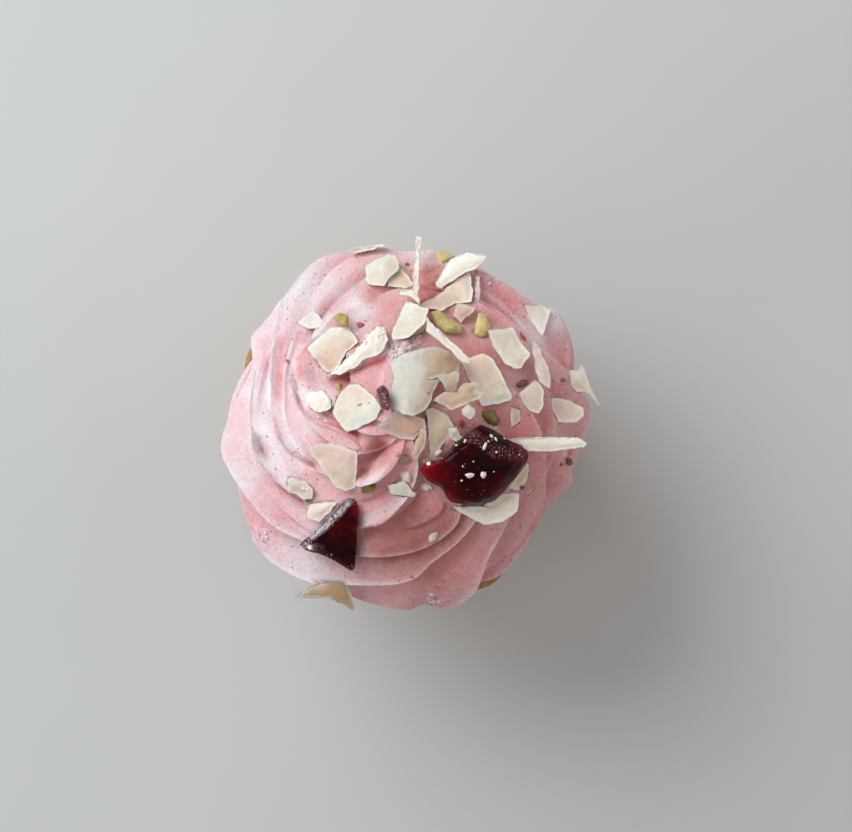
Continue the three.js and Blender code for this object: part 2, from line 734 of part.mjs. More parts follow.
const leftPieces = [
  {
    name: "coconut_18",
    outline: [[-14.3, 3.0], [-13.5, 6.0], [-11.5, 8.5], [-9.3, 8.7], [-6.3, 6.3], [-4.8, 3.8], [-5.8, 1.8],
      [-9.3, 0.0], [-11.5, -0.8], [-12.9, 0.8]],
    thickness: 1.5,
    tilt: [0.1, -0.1],
  },
  {
    name: "coconut_19",
    outline: [[-19.5, 6.6], [-17.9, 7.3], [-15.8, 7.1], [-14.6, 5.7], [-14.6, 4.0], [-15.8, 3.0], [-17.9, 3.2],
      [-19.4, 4.5]],
    thickness: 2.2,
  },
  {
    name: "coconut_20",
    outline: [[-19.4, 15.9], [-17.5, 17.5], [-14.9, 19.8], [-11.5, 20.0], [-9.3, 16.9], [-11.9, 14.5],
      [-13.5, 11.5], [-15.3, 10.7], [-16.9, 12.3], [-18.5, 14.3]],
    tilt: [0.15, 0.05],
  },
  {
    name: "coconut_21",
    outline: [[-14.9, 10.5], [-10.5, 14.5], [-7.3, 18.1], [-6.0, 19.8], [-4.4, 19.8], [-3.4, 17.5], [-5.0, 14.5],
      [-7.3, 13.9], [-9.5, 12.3], [-12.9, 10.5]],
    thickness: 1.2,
  },
  {
    name: "coconut_32",
    outline: [[-18.5, 23.4], [-16.1, 21.0], [-16.5, 19.8], [-19.4, 19.6], [-21.4, 21.0]],
  },
  {
    name: "coconut_33",
    outline: [[-19.2, -3.6], [-17.5, -2.8], [-14.3, -3.0], [-9.5, -4.6], [-9.5, -7.1], [-9.9, -11.7],
      [-11.5, -12.3], [-13.9, -11.5], [-15.3, -9.5], [-17.3, -6.7], [-18.3, -5.6]],
    tilt: [-0.15, 0],
    bend: -0.01,
  },
  {
    name: "coconut_34",
    outline: [[-23.4, -10.1], [-22.4, -9.7], [-19.4, -10.7], [-18.3, -12.1], [-18.3, -13.9], [-19.4, -14.1],
      [-23.0, -12.5]],
    thickness: 2,
  },
  {
    name: "coconut_42",
    outline: [[-19.2, -15.1], [-15.5, -14.5], [-13.3, -14.5], [-16.9, -18.5], [-19.6, -17.5]],
  },
  {
    name: "coconut_36",
    outline: [[-3.4, -11.5], [-1.8, -10.5], [0.0, -10.5], [1.0, -11.9], [2.0, -12.9], [1.8, -13.5],
      [-0.6, -13.3], [-3.0, -12.7]],
    thickness: 1.6,
  },
  {
    name: "coconut_35",
    outline: [[-22.0, -33.3], [-18.8, -31.2], [-15.3, -30.4], [-12.1, -30.4], [-10.9, -32.7], [-9.9, -36.1],
      [-10.7, -36.1], [-13.1, -34.7], [-14.7, -33.9], [-17.9, -33.7], [-20.4, -33.5]],
    follow: 0.25,
  },
];

const lowNuts = [
  {
    name: "pistachio_02",
    outline: [[-1.0, 17.7], [1.4, 19.8], [3.8, 22.0], [4.2, 20.6], [3.4, 19.0], [1.4, 18.1]],
  },
  {
    name: "pistachio_04",
    outline: [[6.2, 34.9], [7.9, 34.9], [9.9, 34.1], [8.1, 32.9], [6.9, 32.1], [6.0, 33.3]],
  },
  {
    name: "pistachio_03",
    outline: [[14.3, 22.6], [15.7, 22.4], [16.1, 21.0], [16.7, 19.6], [16.3, 18.3], [15.1, 17.9], [13.4, 18.3],
      [13.5, 20.0]],
  },
  {
    name: "pistachio_06",
    outline: [[14.9, 3.0], [17.3, 3.6], [18.7, 1.4], [17.9, 0.4], [15.9, 1.2]],
  },
];

const pistachio01 = {
  name: "pistachio_01",
  outline: [[4.9, 22.8], [6.2, 23.2], [8.1, 22.0], [10.1, 20.8], [11.1, 20.0], [10.9, 18.8], [9.9, 18.5],
    [8.1, 18.8], [6.3, 19.8], [5.2, 21.2]],
};

const pistachio05 = {
  name: "pistachio_05",
  outline: [[-14.3, 21.8], [-12.9, 22.6], [-11.5, 22.2], [-11.3, 21.0], [-11.5, 20.0], [-13.3, 20.6]],
};

const coconut25 = {
  name: "coconut_25",
  outline: [[2.8, 24.2], [5.2, 25.6], [7.7, 27.4], [10.1, 29.4], [12.5, 31.0], [12.9, 29.0], [13.2, 27.2],
    [12.9, 24.8], [9.7, 24.6], [7.1, 23.2], [3.4, 23.8]],
  bend: 0.015,
  follow: 0.8,
};

const coconut22 = {
  name: "coconut_22",
  outline: [[0.2, 25.0], [4.4, 23.4], [3.8, 20.6], [0.6, 17.7], [-2.6, 17.3], [-2.8, 18.5], [-1.0, 23.0]],
  tilt: [0.08, 0],
  follow: 0.9,
};

const coconut23 = {
  name: "coconut_23",
  outline: [[4.2, 22.0], [4.8, 20.8], [8.9, 16.9], [12.7, 13.5], [12.3, 12.9], [10.9, 12.9], [8.9, 15.1],
    [6.2, 17.3], [4.0, 19.2]],
  thickness: 1.2,
};

// Lumps repeat their outline over rings of [width share, height].
const nutShape = { rings: [[0.6, 0], [1, 0.8], [0.9, 1.7], [0.45, 2.2]], crown: 0.2, roughness: 0.4, sides: 2.4 };

const berry = {
  name: "berry_01",
  outline: [[-5.6, 7.6], [-4.5, 8.4], [-3.4, 7.0], [-2.9, 5.0], [-3.4, 3.5], [-4.8, 3.9], [-5.5, 5.8]],
  shape: { rings: [[0.7, 0], [1, 0.7], [0.75, 1.7]], crown: 0.4, roughness: 0.5, sides: 1.6 },
};

const jellyChunk = {
  name: "jelly_01",
  outline: [[2.6, -8.1], [4.0, -6.7], [6.0, -6.9], [9.1, -4.0], [12.7, -0.4], [14.7, 1.0], [17.5, -0.2],
    [19.6, -2.0], [22.6, -3.2], [24.4, -5.0], [23.8, -6.7], [21.8, -9.5], [19.2, -12.5], [16.5, -14.5],
    [12.9, -15.1], [8.9, -14.5], [6.7, -11.7], [4.2, -10.3]],
  shape: {
    rings: [[0.8, 0], [0.98, 1.4], [1, 3.4], [0.9, 5.4], [0.7, 6.8], [0.4, 7.4]],
    crown: 0.2,
    roughness: 0.6,
    sides: 3,
  },
  follow: 0.75,
  sink: 1.6,
  cutsOthers: true,
};

const jellyWedge = {
  name: "jelly_02",
  outline: [[-21.1, -22.9], [-18.9, -21.0], [-16.4, -18.7], [-14.05, -16.5], [-11.5, -13.9], [-10.3, -13.6],
    [-10.1, -16.4], [-10.4, -19.2], [-10.6, -22.4], [-10.95, -26.9], [-11.7, -27.5], [-13.6, -26.2],
    [-16.1, -24.8], [-18.3, -23.9], [-20.4, -23.4]],
  shape: {
    rings: [[0.97, 0], [1, 0.6], [0.99, 3.4], [0.95, 3.9]],
    crown: 0,
    roughness: 0.15,
    sides: 3,
    lean: [0.26, -0.24],
  },
  follow: 0.75,
  tilt: [-0.1, 0.1],
  sink: 1.4,
  cutsOthers: true,
};

// Bits too small to stand alone, joined to the cream.
const creamBits = [
  { outline: [[-1.0, -8.5], [0.8, -8.3], [1.6, -10.1], [0.6, -10.7], [-1.0, -9.9]] },
  { outline: [[3.2, -10.9], [4.2, -10.7], [5.0, -11.5], [4.4, -12.1], [3.2, -11.7]] },
  { outline: [[5.6, -20.2], [6.2, -20.6], [6.2, -22.2], [5.0, -22.8], [4.4, -22.2]] },
  { outline: [[-8.7, -11.4], [-7.9, -10.5], [-6.5, -10.4], [-6.2, -11.3], [-7.7, -12.6]] },
  { outline: [[31.3, -6.3], [32.3, -5.9], [33.1, -6.7], [32.5, -7.5], [31.5, -7.3]] },
];

const bitShape = { rings: [[0.7, 0], [1, 0.6], [0.8, 1.5]], crown: 0.3, roughness: 0.3, sides: 2.4 };

// ---------- the cupcake ----------

const cupcake = new THREE.Group();

const cake = new THREE.Mesh(makeCake(), spongeFinish);
cake.name = "cake";
cupcake.add(cake);

addLump(cupcake, jellyChunk, jellyFinish);
addLump(cupcake, jellyWedge, jellyFinish);
for (const nut of lowNuts) addLump(cupcake, { ...nut, shape: nutShape }, pistachioFinish);
addChip(cupcake, coconut25);
addChip(cupcake, coconut22);
addLump(cupcake, { ...pistachio01, shape: nutShape }, pistachioFinish);
for (const chip of [...centrePieces, coconut23, ...rightPieces, ...upperPieces, ...leftPieces]) {
  addChip(cupcake, chip);
}
addLump(cupcake, { ...pistachio05, shape: nutShape }, pistachioFinish);
addLump(cupcake, berry, berryFinish);

let creamSolid = toSolid(makeCream());
for (const bit of creamBits) creamSolid = creamSolid.add(toSolid(makeBit(bit)));
for (const pocket of pockets) creamSolid = creamSolid.subtract(pocket);
const cream = new THREE.Mesh(toGeometry(largestBody(creamSolid)), creamFinish);
cream.name = "cream";
cupcake.add(cream);

export default cupcake;
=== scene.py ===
import math
import random

import bmesh
import bpy
import numpy as np
from mathutils import Matrix, Vector, noise
from mathutils.bvhtree import BVHTree
from mathutils.kdtree import KDTree


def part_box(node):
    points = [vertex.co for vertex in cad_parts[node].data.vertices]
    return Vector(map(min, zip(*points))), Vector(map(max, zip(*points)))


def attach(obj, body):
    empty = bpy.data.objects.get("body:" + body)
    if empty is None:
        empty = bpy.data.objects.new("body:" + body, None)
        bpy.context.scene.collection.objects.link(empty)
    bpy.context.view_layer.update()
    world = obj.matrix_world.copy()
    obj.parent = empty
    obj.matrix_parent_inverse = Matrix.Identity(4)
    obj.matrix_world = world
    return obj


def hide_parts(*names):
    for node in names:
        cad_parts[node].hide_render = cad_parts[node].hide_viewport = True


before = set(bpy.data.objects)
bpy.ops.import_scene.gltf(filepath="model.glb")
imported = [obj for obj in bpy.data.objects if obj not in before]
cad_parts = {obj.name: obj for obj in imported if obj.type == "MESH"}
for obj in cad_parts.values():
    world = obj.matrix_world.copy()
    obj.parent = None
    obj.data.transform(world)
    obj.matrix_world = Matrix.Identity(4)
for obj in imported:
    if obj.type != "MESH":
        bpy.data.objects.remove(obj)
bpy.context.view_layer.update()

# Lengths in the dictionaries are millimetres, and meshes are metres.
# Bearings are degrees clockwise from +X as seen from above.
mm = 0.001
scene = bpy.context.scene


# Shared helpers.

def sharpEdges(bm, degrees):
    limit = math.radians(degrees)
    return [e for e in bm.edges if len(e.link_faces) == 2 and e.calc_face_angle(0) > limit]


def newPiece(name, bm, material, smoothAngle=40):
    for face in bm.faces:
        face.smooth = True
    for edge in sharpEdges(bm, smoothAngle):
        edge.smooth = False
    mesh = bpy.data.meshes.new(name)
    bm.to_mesh(mesh)
    bm.free()
    mesh.materials.append(material)
    piece = bpy.data.objects.new(name, mesh)
    scene.collection.objects.link(piece)
    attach(piece, "root")
    return piece


def wobble(x, y, z, wave, seed=0.0):
    # smooth noise from -1 to 1 that repeats over about one wave, in millimetres
    return noise.noise(Vector((x / wave + seed, y / wave - seed, z / wave + 2.7 * seed)))


def waves(x, y, z, parts, seed=0.0):
    # a sum of wobbles: height, wave and seed of each
    return sum(height * wobble(x, y, z, wave, seed + own) for height, wave, own in parts)


def coverTree(pieces):
    # one tree of the faces of several pieces, to find what shows from above
    points, faces = [], []
    for piece in pieces:
        first = len(points)
        points += [v.co.copy() for v in piece.data.vertices]
        faces += [[first + k for k in p.vertices] for p in piece.data.polygons]
    return BVHTree.FromPolygons(points, faces)


def softened(bm, times):
    for _ in range(times):
        bmesh.ops.smooth_vert(
            bm, verts=bm.verts, factor=0.5, use_axis_x=True, use_axis_y=True, use_axis_z=True)


def newLayers(bm, *names):
    return {name: bm.verts.layers.float.new(name) for name in names}


def fillLayers(bm, tones):
    # the same values all over a piece
    layers = newLayers(bm, *tones)
    for v in bm.verts:
        for name, value in tones.items():
            v[layers[name]] = value


def grainFromPlace(bm):
    layer = bm.verts.layers.float_vector.new("grain")
    for v in bm.verts:
        v[layer] = v.co


# The materials.

class NodeSet:
    # a material's nodes, added and joined by short calls
    def __init__(self, name):
        self.material = bpy.data.materials.new(name)
        self.material.use_nodes = True
        self.tree = self.material.node_tree
        self.shader = self.tree.nodes["Principled BSDF"]
        self.place = self.add("ShaderNodeTexCoord").outputs["Object"]

    def add(self, kind, **values):
        node = self.tree.nodes.new(kind)
        for key, value in values.items():
            setattr(node, key, value)
        return node

    def join(self, output, socket):
        self.tree.links.new(output, socket)

    def fill(self, socket, value):
        if isinstance(value, (int, float, tuple)):
            socket.default_value = value
        else:
            self.join(value, socket)

    def stretch(self, scale, source=None):
        node = self.add("ShaderNodeMapping")
        self.join(source or self.place, node.inputs["Vector"])
        node.inputs["Scale"].default_value = scale
        return node.outputs["Vector"]

    def noise(self, wave, detail=3.0, rough=0.5, source=None, warp=0.0):
        # wave is the size of the blotches in millimetres
        node = self.add("ShaderNodeTexNoise")
        self.join(source or self.place, node.inputs["Vector"])
        node.inputs["Scale"].default_value = 1000 / wave
        node.inputs["Detail"].default_value = detail
        node.inputs["Roughness"].default_value = rough
        node.inputs["Distortion"].default_value = warp
        return node.outputs["Fac"]

    def cells(self, size, output="Distance", source=None):
        # size is the distance between the cells in millimetres
        node = self.add("ShaderNodeTexVoronoi")
        self.join(source or self.place, node.inputs["Vector"])
        node.inputs["Scale"].default_value = 1000 / size
        return node.outputs[output]

    def ramp(self, value, low, high, lowTo=0.0, highTo=1.0):
        node = self.add("ShaderNodeMapRange")
        self.fill(node.inputs["Value"], value)
        node.inputs["From Min"].default_value = low
        node.inputs["From Max"].default_value = high
        node.inputs["To Min"].default_value = lowTo
        node.inputs["To Max"].default_value = highTo
        return node.outputs["Result"]

    def math(self, operation, a, b=0.0):
        node = self.add("ShaderNodeMath", operation=operation)
        self.fill(node.inputs[0], a)
        self.fill(node.inputs[1], b)
        return node.outputs[0]

    def blend(self, amount, a, b, kind="MIX"):
        node = self.add("ShaderNodeMix", data_type="RGBA", blend_type=kind)
        self.fill(node.inputs[0], amount)
        for socket, value in ((node.inputs[6], a), (node.inputs[7], b)):
            self.fill(socket, (*value, 1.0) if isinstance(value, tuple) and len(value) == 3 else value)
        return node.outputs[2]

    def attribute(self, name, output="Fac"):
        return self.add("ShaderNodeAttribute", attribute_name=name).outputs[output]

    def varied(self, name, uneven, *span, how="ADD"):
        # a value of the vertices, made uneven by a noise
        return self.math(how, self.attribute(name), self.ramp(uneven, *span))

    def bump(self, height, depth, strength=1.0, after=None):
        # depth is the height of the relief in millimetres
        node = self.add("ShaderNodeBump")
        node.inputs["Strength"].default_value = strength
        node.inputs["Distance"].default_value = depth * mm
        self.fill(node.inputs["Height"], height)
        if after is not None:
            self.join(after, node.inputs["Normal"])
        return node.outputs["Normal"]

    def scatter(self, weight, scale, radius=None):
        # light spreads under the surface, over a scale in millimetres
        shader = self.shader.inputs
        shader["Subsurface Weight"].default_value = weight
        shader["Subsurface Scale"].default_value = scale * mm
        if radius is not None:
            shader["Subsurface Radius"].default_value = radius

    def finish(self, colour, normal=None, rough=0.5, **values):
        shader = self.shader.inputs
        self.fill(shader["Base Color"], colour)
        self.fill(shader["Roughness"], rough)
        if normal is not None:
            self.join(normal, shader["Normal"])
        for key, value in values.items():
            shader[key].default_value = value
        return self.material


def makeCreamMaterial(name, scatter):
    look = {
        "white": (0.95, 0.885, 0.90),
        "pale": (0.87, 0.70, 0.73),
        "deep": (0.81, 0.32, 0.33),
        "paintedShade": (0.38, 0.14, 0.105),
        "coral": (0.70, 0.17, 0.10),
        "fleck": (0.56, 0.10, 0.12),
        "fleckSize": 1.6,
        "smallFleckSize": 0.62,
        "fleckAmount": 0.55,
        "smallFleckAmount": 0.18,
    }
    n = NodeSet(name)
    pulp = n.varied("pulp", n.noise(4.0, 4.0, 0.6), 0.3, 0.7, -0.14, 0.14)
    pulp = n.math("ADD", pulp, n.ramp(n.noise(0.6, 4.0, 0.7), 0.3, 0.7, -0.27, 0.27))
    colour = n.blend(n.ramp(pulp, 0.0, 1.0), look["pale"], look["deep"])
    colour = n.blend(n.ramp(pulp, 0.0, -0.5), colour, look["white"])
    # painted shade: the cream is darkened towards a warm dark colour where shade falls
    shadeAmount = n.varied("shadeAmount", n.noise(1.6, 4.0, 0.6), 0.3, 0.7, 0.75, 1.25, how="MULTIPLY")
    colour = n.blend(shadeAmount, colour, look["paintedShade"])
    stain = n.varied("stain", n.noise(2.2, 4.0, 0.6), 0.3, 0.6, 0.55, 1.25, how="MULTIPLY")
    colour = n.blend(stain, colour, look["coral"])
    # fine flecks of fruit, in some of the cells only
    near = n.cells(look["fleckSize"])
    chosen = n.ramp(n.cells(look["fleckSize"], "Color"), 0.58, 0.66)
    fleck = n.math("MULTIPLY", n.ramp(near, 0.24, 0.08), chosen)
    colour = n.blend(n.math("MULTIPLY", fleck, look["fleckAmount"]), colour, look["fleck"])
    small = n.ramp(n.cells(look["smallFleckSize"]), 0.22, 0.08)
    colour = n.blend(n.math("MULTIPLY", small, look["smallFleckAmount"]), colour, look["fleck"])
    normal = n.bump(n.noise(1.6, 4.0, 0.6), 0.3, 0.6)
    normal = n.bump(n.noise(0.6, 4.0, 0.75), 0.4, 1.0, normal)
    normal = n.bump(n.ramp(n.cells(0.5), 0.0, 0.35), 0.06, 0.7, normal)
    n.scatter(scatter, 1.4, (1.0, 0.35, 0.3))
    return n.finish(colour, normal, 0.52, **{"Specular IOR Level": 0.4, "IOR": 1.45})


def makeCoconutMaterial(name, scatter):
    look = {
        "flesh": (0.85, 0.835, 0.74),
        "warm": (0.66, 0.43, 0.21),
        "rosy": (0.80, 0.47, 0.40),
        "cut": (0.96, 0.945, 0.88),
        "speck": (0.16, 0.10, 0.06),
        "speckSize": 1.7,
        "speckAmount": 0.65,
    }
    n = NodeSet(name)
    warm = n.varied("warm", n.noise(4.0, 3.0), 0.35, 0.7, -0.12, 0.2)
    rosy = n.varied("rosy", n.noise(5.0, 2.0), 0.4, 0.7, -0.1, 0.12)
    colour = n.blend(n.ramp(warm, 0.0, 1.0), look["flesh"], look["warm"])
    colour = n.blend(n.ramp(rosy, 0.0, 1.0), colour, look["rosy"])
    # the cut edges are paler, partly the cut flesh and partly a painted highlight on the rims, and the
    # grain of the flesh runs along each chip
    colour = n.blend(n.ramp(n.attribute("edge"), 0.0, 1.0, 0.0, 0.8), colour, look["cut"])
    grain = n.attribute("grain", "Vector")
    fibres = n.noise(0.30, 3.0, 0.65, n.stretch((0.22, 1.0, 1.0), grain))
    mottle = n.noise(1.1, 3.0, 0.6, grain)
    tone = n.varied("shade", fibres, 0.3, 0.7, 0.93, 1.04, how="MULTIPLY")
    tone = n.math("MULTIPLY", tone, n.ramp(mottle, 0.3, 0.7, 0.94, 1.03))
    colour = n.blend(1.0, colour, tone, "MULTIPLY")
    near = n.cells(look["speckSize"])
    chosen = n.ramp(n.cells(look["speckSize"], "Color"), 0.70, 0.74)
    speck = n.math("MULTIPLY", n.ramp(near, 0.11, 0.05), chosen)
    colour = n.blend(n.math("MULTIPLY", speck, look["speckAmount"]), colour, look["speck"])
    normal = n.bump(fibres, 0.06, 0.6)
    normal = n.bump(mottle, 0.14, 0.6, normal)
    n.scatter(scatter, 0.8, (1.0, 0.85, 0.65))
    return n.finish(colour, normal, 0.42, **{"Specular IOR Level": 0.4})


def makeJellyMaterial():
    look = {
        "dark": (0.016, 0.0012, 0.0022),
        "paintedThroughLight": (0.30, 0.003, 0.012),
        "sugar": (0.18, 0.05, 0.055),
        "white": (0.34, 0.16, 0.17),
        "frost": (0.60, 0.58, 0.62),
    }
    n = NodeSet("darkRedJelly")
    # painted light: brighter red where light shines through the jelly
    depth = n.varied("paintedThroughLight", n.noise(3.0, 3.0), 0.3, 0.7, -0.08, 0.1)
    colour = n.blend(n.ramp(depth, 0.0, 1.0), look["dark"], look["paintedThroughLight"])
    grain = n.cells(0.3)
    crust = n.math("MULTIPLY", n.ramp(n.attribute("sugar"), 0.15, 0.6), n.ramp(grain, 0.55, 0.25))
    crystal = n.blend(n.ramp(n.noise(0.5, 2.0, 0.7), 0.45, 0.62), look["sugar"], look["white"])
    colour = n.blend(n.math("MULTIPLY", crust, 0.85), colour, crystal)
    frost = n.varied("frost", n.noise(0.7, 4.0, 0.65), 0.40, 0.58, 0.05, 1.0, how="MULTIPLY")
    colour = n.blend(frost, colour, look["frost"])
    rough = n.ramp(n.attribute("sugar"), 0.1, 0.6, 0.10, 0.55)
    normal = n.bump(n.noise(2.6, 2.0, warp=0.4), 0.16, 0.5)
    grains = n.math("MULTIPLY", n.ramp(grain, 0.6, 0.0), n.attribute("sugar"))
    normal = n.bump(grains, 0.14, 0.8, normal)
    n.scatter(0.1, 1.5, (1.0, 0.05, 0.05))
    return n.finish(colour, normal, rough, **{"Specular IOR Level": 0.2, "IOR": 1.28})


def makeNutMaterial():
    look = {
        "flesh": (0.70, 0.56, 0.26),
        "green": (0.32, 0.27, 0.06),
        "dark": (0.13, 0.09, 0.015),
        "skin": (0.14, 0.06, 0.06),
    }
    n = NodeSet("pistachioKernel")
    green = n.varied("green", n.noise(1.8, 4.0, 0.6), 0.3, 0.7, -0.3, 0.3)
    colour = n.blend(n.ramp(green, 0.0, 0.7), look["flesh"], look["green"])
    colour = n.blend(n.ramp(green, 0.75, 1.3), colour, look["dark"])
    skin = n.varied("skin", n.noise(1.3, 3.0, 0.6, warp=0.5), 0.3, 0.7, -0.5, 0.5)
    colour = n.blend(n.ramp(skin, 0.5, 0.62), colour, look["skin"])
    normal = n.bump(n.noise(0.7, 4.0, 0.6), 0.12, 0.6)
    n.scatter(0.25, 0.6, (0.8, 0.8, 0.3))
    return n.finish(colour, normal, 0.48)


def makeBerryMaterial():
    look = {"flesh": (0.20, 0.008, 0.03), "dark": (0.035, 0.004, 0.01), "shine": (0.42, 0.09, 0.12)}
    n = NodeSet("driedRedBerry")
    colour = n.blend(n.ramp(n.noise(1.2, 4.0, 0.6), 0.35, 0.62), look["flesh"], look["dark"])
    colour = n.blend(n.ramp(n.noise(0.6, 3.0), 0.60, 0.72, 0.0, 0.45), colour, look["shine"])
    normal = n.bump(n.cells(0.8), 0.25, 0.8)
    return n.finish(colour, normal, 0.25, **{"Coat Weight": 0.3})


def makeSpongeMaterial():
    look = {
        "crust": (0.42, 0.19, 0.055),
        "gold": (0.62, 0.36, 0.13),
        "dark": (0.20, 0.075, 0.022),
        "crumb": (0.72, 0.50, 0.24),
    }
    n = NodeSet("bakedSponge")
    colour = n.blend(n.ramp(n.noise(9.0, 5.0, 0.6), 0.35, 0.65), look["crust"], look["gold"])
    colour = n.blend(n.math("MULTIPLY", n.attribute("baked"), 0.7), colour, look["dark"])
    sparse = n.ramp(n.noise(2.6, 4.0, 0.6), 0.35, 0.62, 0.0, 0.24)
    pores = n.math("ADD", n.cells(1.15, source=n.stretch((1.0, 1.0, 0.8))), sparse)
    pores = n.ramp(pores, 0.10, 0.36)
    fine = n.noise(0.6, 4.0, 0.65)
    colour = n.blend(n.ramp(fine, 0.50, 0.72, 0.0, 0.55), colour, look["crumb"])
    # painted shade: the pores are darkened
    colour = n.blend(n.ramp(pores, 0.0, 0.6, 0.65, 0.0), colour, look["dark"])
    normal = n.bump(pores, 0.35, 0.7)
    normal = n.bump(fine, 0.2, 0.8, normal)
    n.scatter(0.12, 1.0, (1.0, 0.5, 0.2))
    return n.finish(colour, normal, 0.78, **{"Specular IOR Level": 0.3})


def makeSugarMaterial():
    look = {"white": (0.93, 0.90, 0.87), "rosy": (0.86, 0.74, 0.72)}
    n = NodeSet("sugarCrystal")
    colour = n.blend(n.ramp(n.noise(0.8, 2.0), 0.3, 0.7), look["white"], look["rosy"])
    normal = n.bump(n.noise(0.25, 2.0), 0.08, 0.8)
    n.scatter(0.4, 0.4)
    return n.finish(colour, normal, 0.4)


def makeSkinMaterial():
    look = {"dark": (0.10, 0.045, 0.045), "brown": (0.24, 0.16, 0.13)}
    n = NodeSet("darkFruitSkin")
    colour = n.blend(n.ramp(n.noise(0.9, 4.0, 0.6), 0.35, 0.65), look["dark"], look["brown"])
    normal = n.bump(n.noise(0.4, 3.0), 0.1, 0.8)
    return n.finish(colour, normal, 0.45)


def makeFleckMaterial():
    look = {"red": (0.52, 0.10, 0.12), "dark": (0.34, 0.06, 0.07)}
    n = NodeSet("driedFruitFleck")
    colour = n.blend(n.ramp(n.noise(2.0, 2.0), 0.35, 0.65), look["red"], look["dark"])
    normal = n.bump(n.noise(0.3, 2.0), 0.06, 0.6)
    return n.finish(colour, normal, 0.5)


creamMaterial = makeCreamMaterial("whippedPinkCream", 0.35)
creamCrumbMaterial = makeCreamMaterial("frostedCreamCrumb", 0.04)
coconutMaterial = makeCoconutMaterial("coconutFlesh", 0.35)
coconutCrumbMaterial = makeCoconutMaterial("coconutCrumb", 0.08)
jellyMaterial = makeJellyMaterial()
nutMaterial = makeNutMaterial()
berryMaterial = makeBerryMaterial()
spongeMaterial = makeSpongeMaterial()
sugarMaterial = makeSugarMaterial()
fleckMaterial = makeFleckMaterial()
skinMaterial = makeSkinMaterial()
print("materials made")


# Camera, light and floor.

view = {
    "scale": 5.04,  # picture points for one mm at the cream's rim
    "rimHeight": 46.0,
    "distance": 1500.0,  # from the rim to the camera
    "centre": (3.97, 2.38),  # what the picture is centred on
    "pictureWidth": 852,
}
camera = bpy.data.cameras.new("camera")
camera.sensor_width = 36
camera.lens = view["scale"] * view["distance"] / view["pictureWidth"] * camera.sensor_width
camera.clip_start = 0.05
camera.clip_end = 50
cameraObject = bpy.data.objects.new("camera", camera)
cameraObject.location = (
    view["centre"][0] * mm, view["centre"][1] * mm, (view["rimHeight"] + view["distance"]) * mm)
scene.collection.objects.link(cameraObject)
scene.camera = cameraObject

lamps = {  # place and size in metres, power in watts, colour
    "key": ((-0.42, 0.40, 0.50), 0.62, 5.0, (0.965, 0.995, 1.02)),
    "leftFill": ((-0.58, -0.26, 0.30), 0.7, 1.1, (1.0, 1.0, 1.0)),
    "rightFill": ((0.60, 0.08, 0.28), 0.8, 0.8, (1.0, 0.80, 0.74)),
}
lampAim = Vector((0, 0, 0.03))
sky = {"colour": (0.86, 0.85, 0.845), "strength": 0.41}


def addLamp(name, place, size, power, colour):
    lamp = bpy.data.lights.new(name, "AREA")
    lamp.shape = "DISK"
    lamp.size = size
    lamp.energy = power
    lamp.color = colour
    lampObject = bpy.data.objects.new(name, lamp)
    lampObject.location = place
    lampObject.rotation_euler = (lampAim - Vector(place)).to_track_quat("-Z", "Y").to_euler()
    scene.collection.objects.link(lampObject)


for name, values in lamps.items():
    addLamp(name, *values)

world = bpy.data.worlds.new("studio")
world.use_nodes = True
background = world.node_tree.nodes["Background"].inputs
background["Color"].default_value = (*sky["colour"], 1)
background["Strength"].default_value = sky["strength"]
scene.world = world
scene.view_settings.view_transform = "Standard"

floorBm = bmesh.new()
bmesh.ops.create_grid(floorBm, x_segments=2, y_segments=2, size=3.0)
floorMesh = bpy.data.meshes.new("floor")
floorBm.to_mesh(floorMesh)
floorBm.free()
floorLook = NodeSet("paleGreyFloor")
floorTone = floorLook.blend(
    floorLook.ramp(floorLook.noise(60.0, 2.0), 0.3, 0.7), (0.560, 0.578, 0.580), (0.575, 0.592, 0.594))
floorMesh.materials.append(floorLook.finish(floorTone, None, 0.8))
floor = bpy.data.objects.new("floor", floorMesh)
scene.collection.objects.link(floor)
print("camera, light and floor made")


# The cake.

cakeShape = {
    "baseRadius": 24.5,
    "wallTopRadius": 30.6,
    "crownRadius": 32.2,
    "crownHeight": 37.2,
    "topHeight": 42.4,
    "topFall": 2.2,
    "flatTo": 29.4,
    "wallFlutes": 28,
    "fluteDepth": 0.35,
    "footRound": 1.4,
    "around": 336,
    "footSteps": 4,
    "wallRings": 46,
    "crownRings": 7,
    "overSteps": 6,
    "crownDepth": 4.2,  # from the crown down to the end of the straight wall
    "bulgeOver": 2.0,  # how far a bulge reaches above the crown
    "bulgeUnder": 3.5,
    "waves": [(0.34, 4.2, 0.0), (0.18, 1.6, 3.1)],  # unevenness: height, wave and seed
    "bakedFoot": 0.75,
    "bakedCrown": 0.35,
    "bakedBlotches": 0.25,
    # where the crown stands out: bearing, width in degrees, size
    "bulges": [(62, 13, 3.4), (206, 12, 2.7), (135, 30, 0.8), (270, 25, 0.6), (335, 30, 0.5)],
}


def bulgeAt(bulges, bearing):
    total = 0
    for middle, width, size in bulges:
        away = (bearing - middle + 180) % 360 - 180
        total = total + size * np.exp(-(away / width) ** 2)
    return total


def cakeTop(radius):
    # height of the cake's top at distances from the axis
    flatTo, crown = cakeShape["flatTo"], cakeShape["crownRadius"]
    t = np.clip((radius - flatTo) / (crown - flatTo), 0, 1)
    rim = cakeShape["topHeight"] - cakeShape["topFall"]
    edge = cakeShape["crownHeight"] + (rim - cakeShape["crownHeight"]) * np.sqrt(1 - t * t)
    inner = cakeShape["topHeight"] - cakeShape["topFall"] * (np.minimum(radius, flatTo) / flatTo) ** 2
    return np.where(radius <= flatTo, inner, edge)


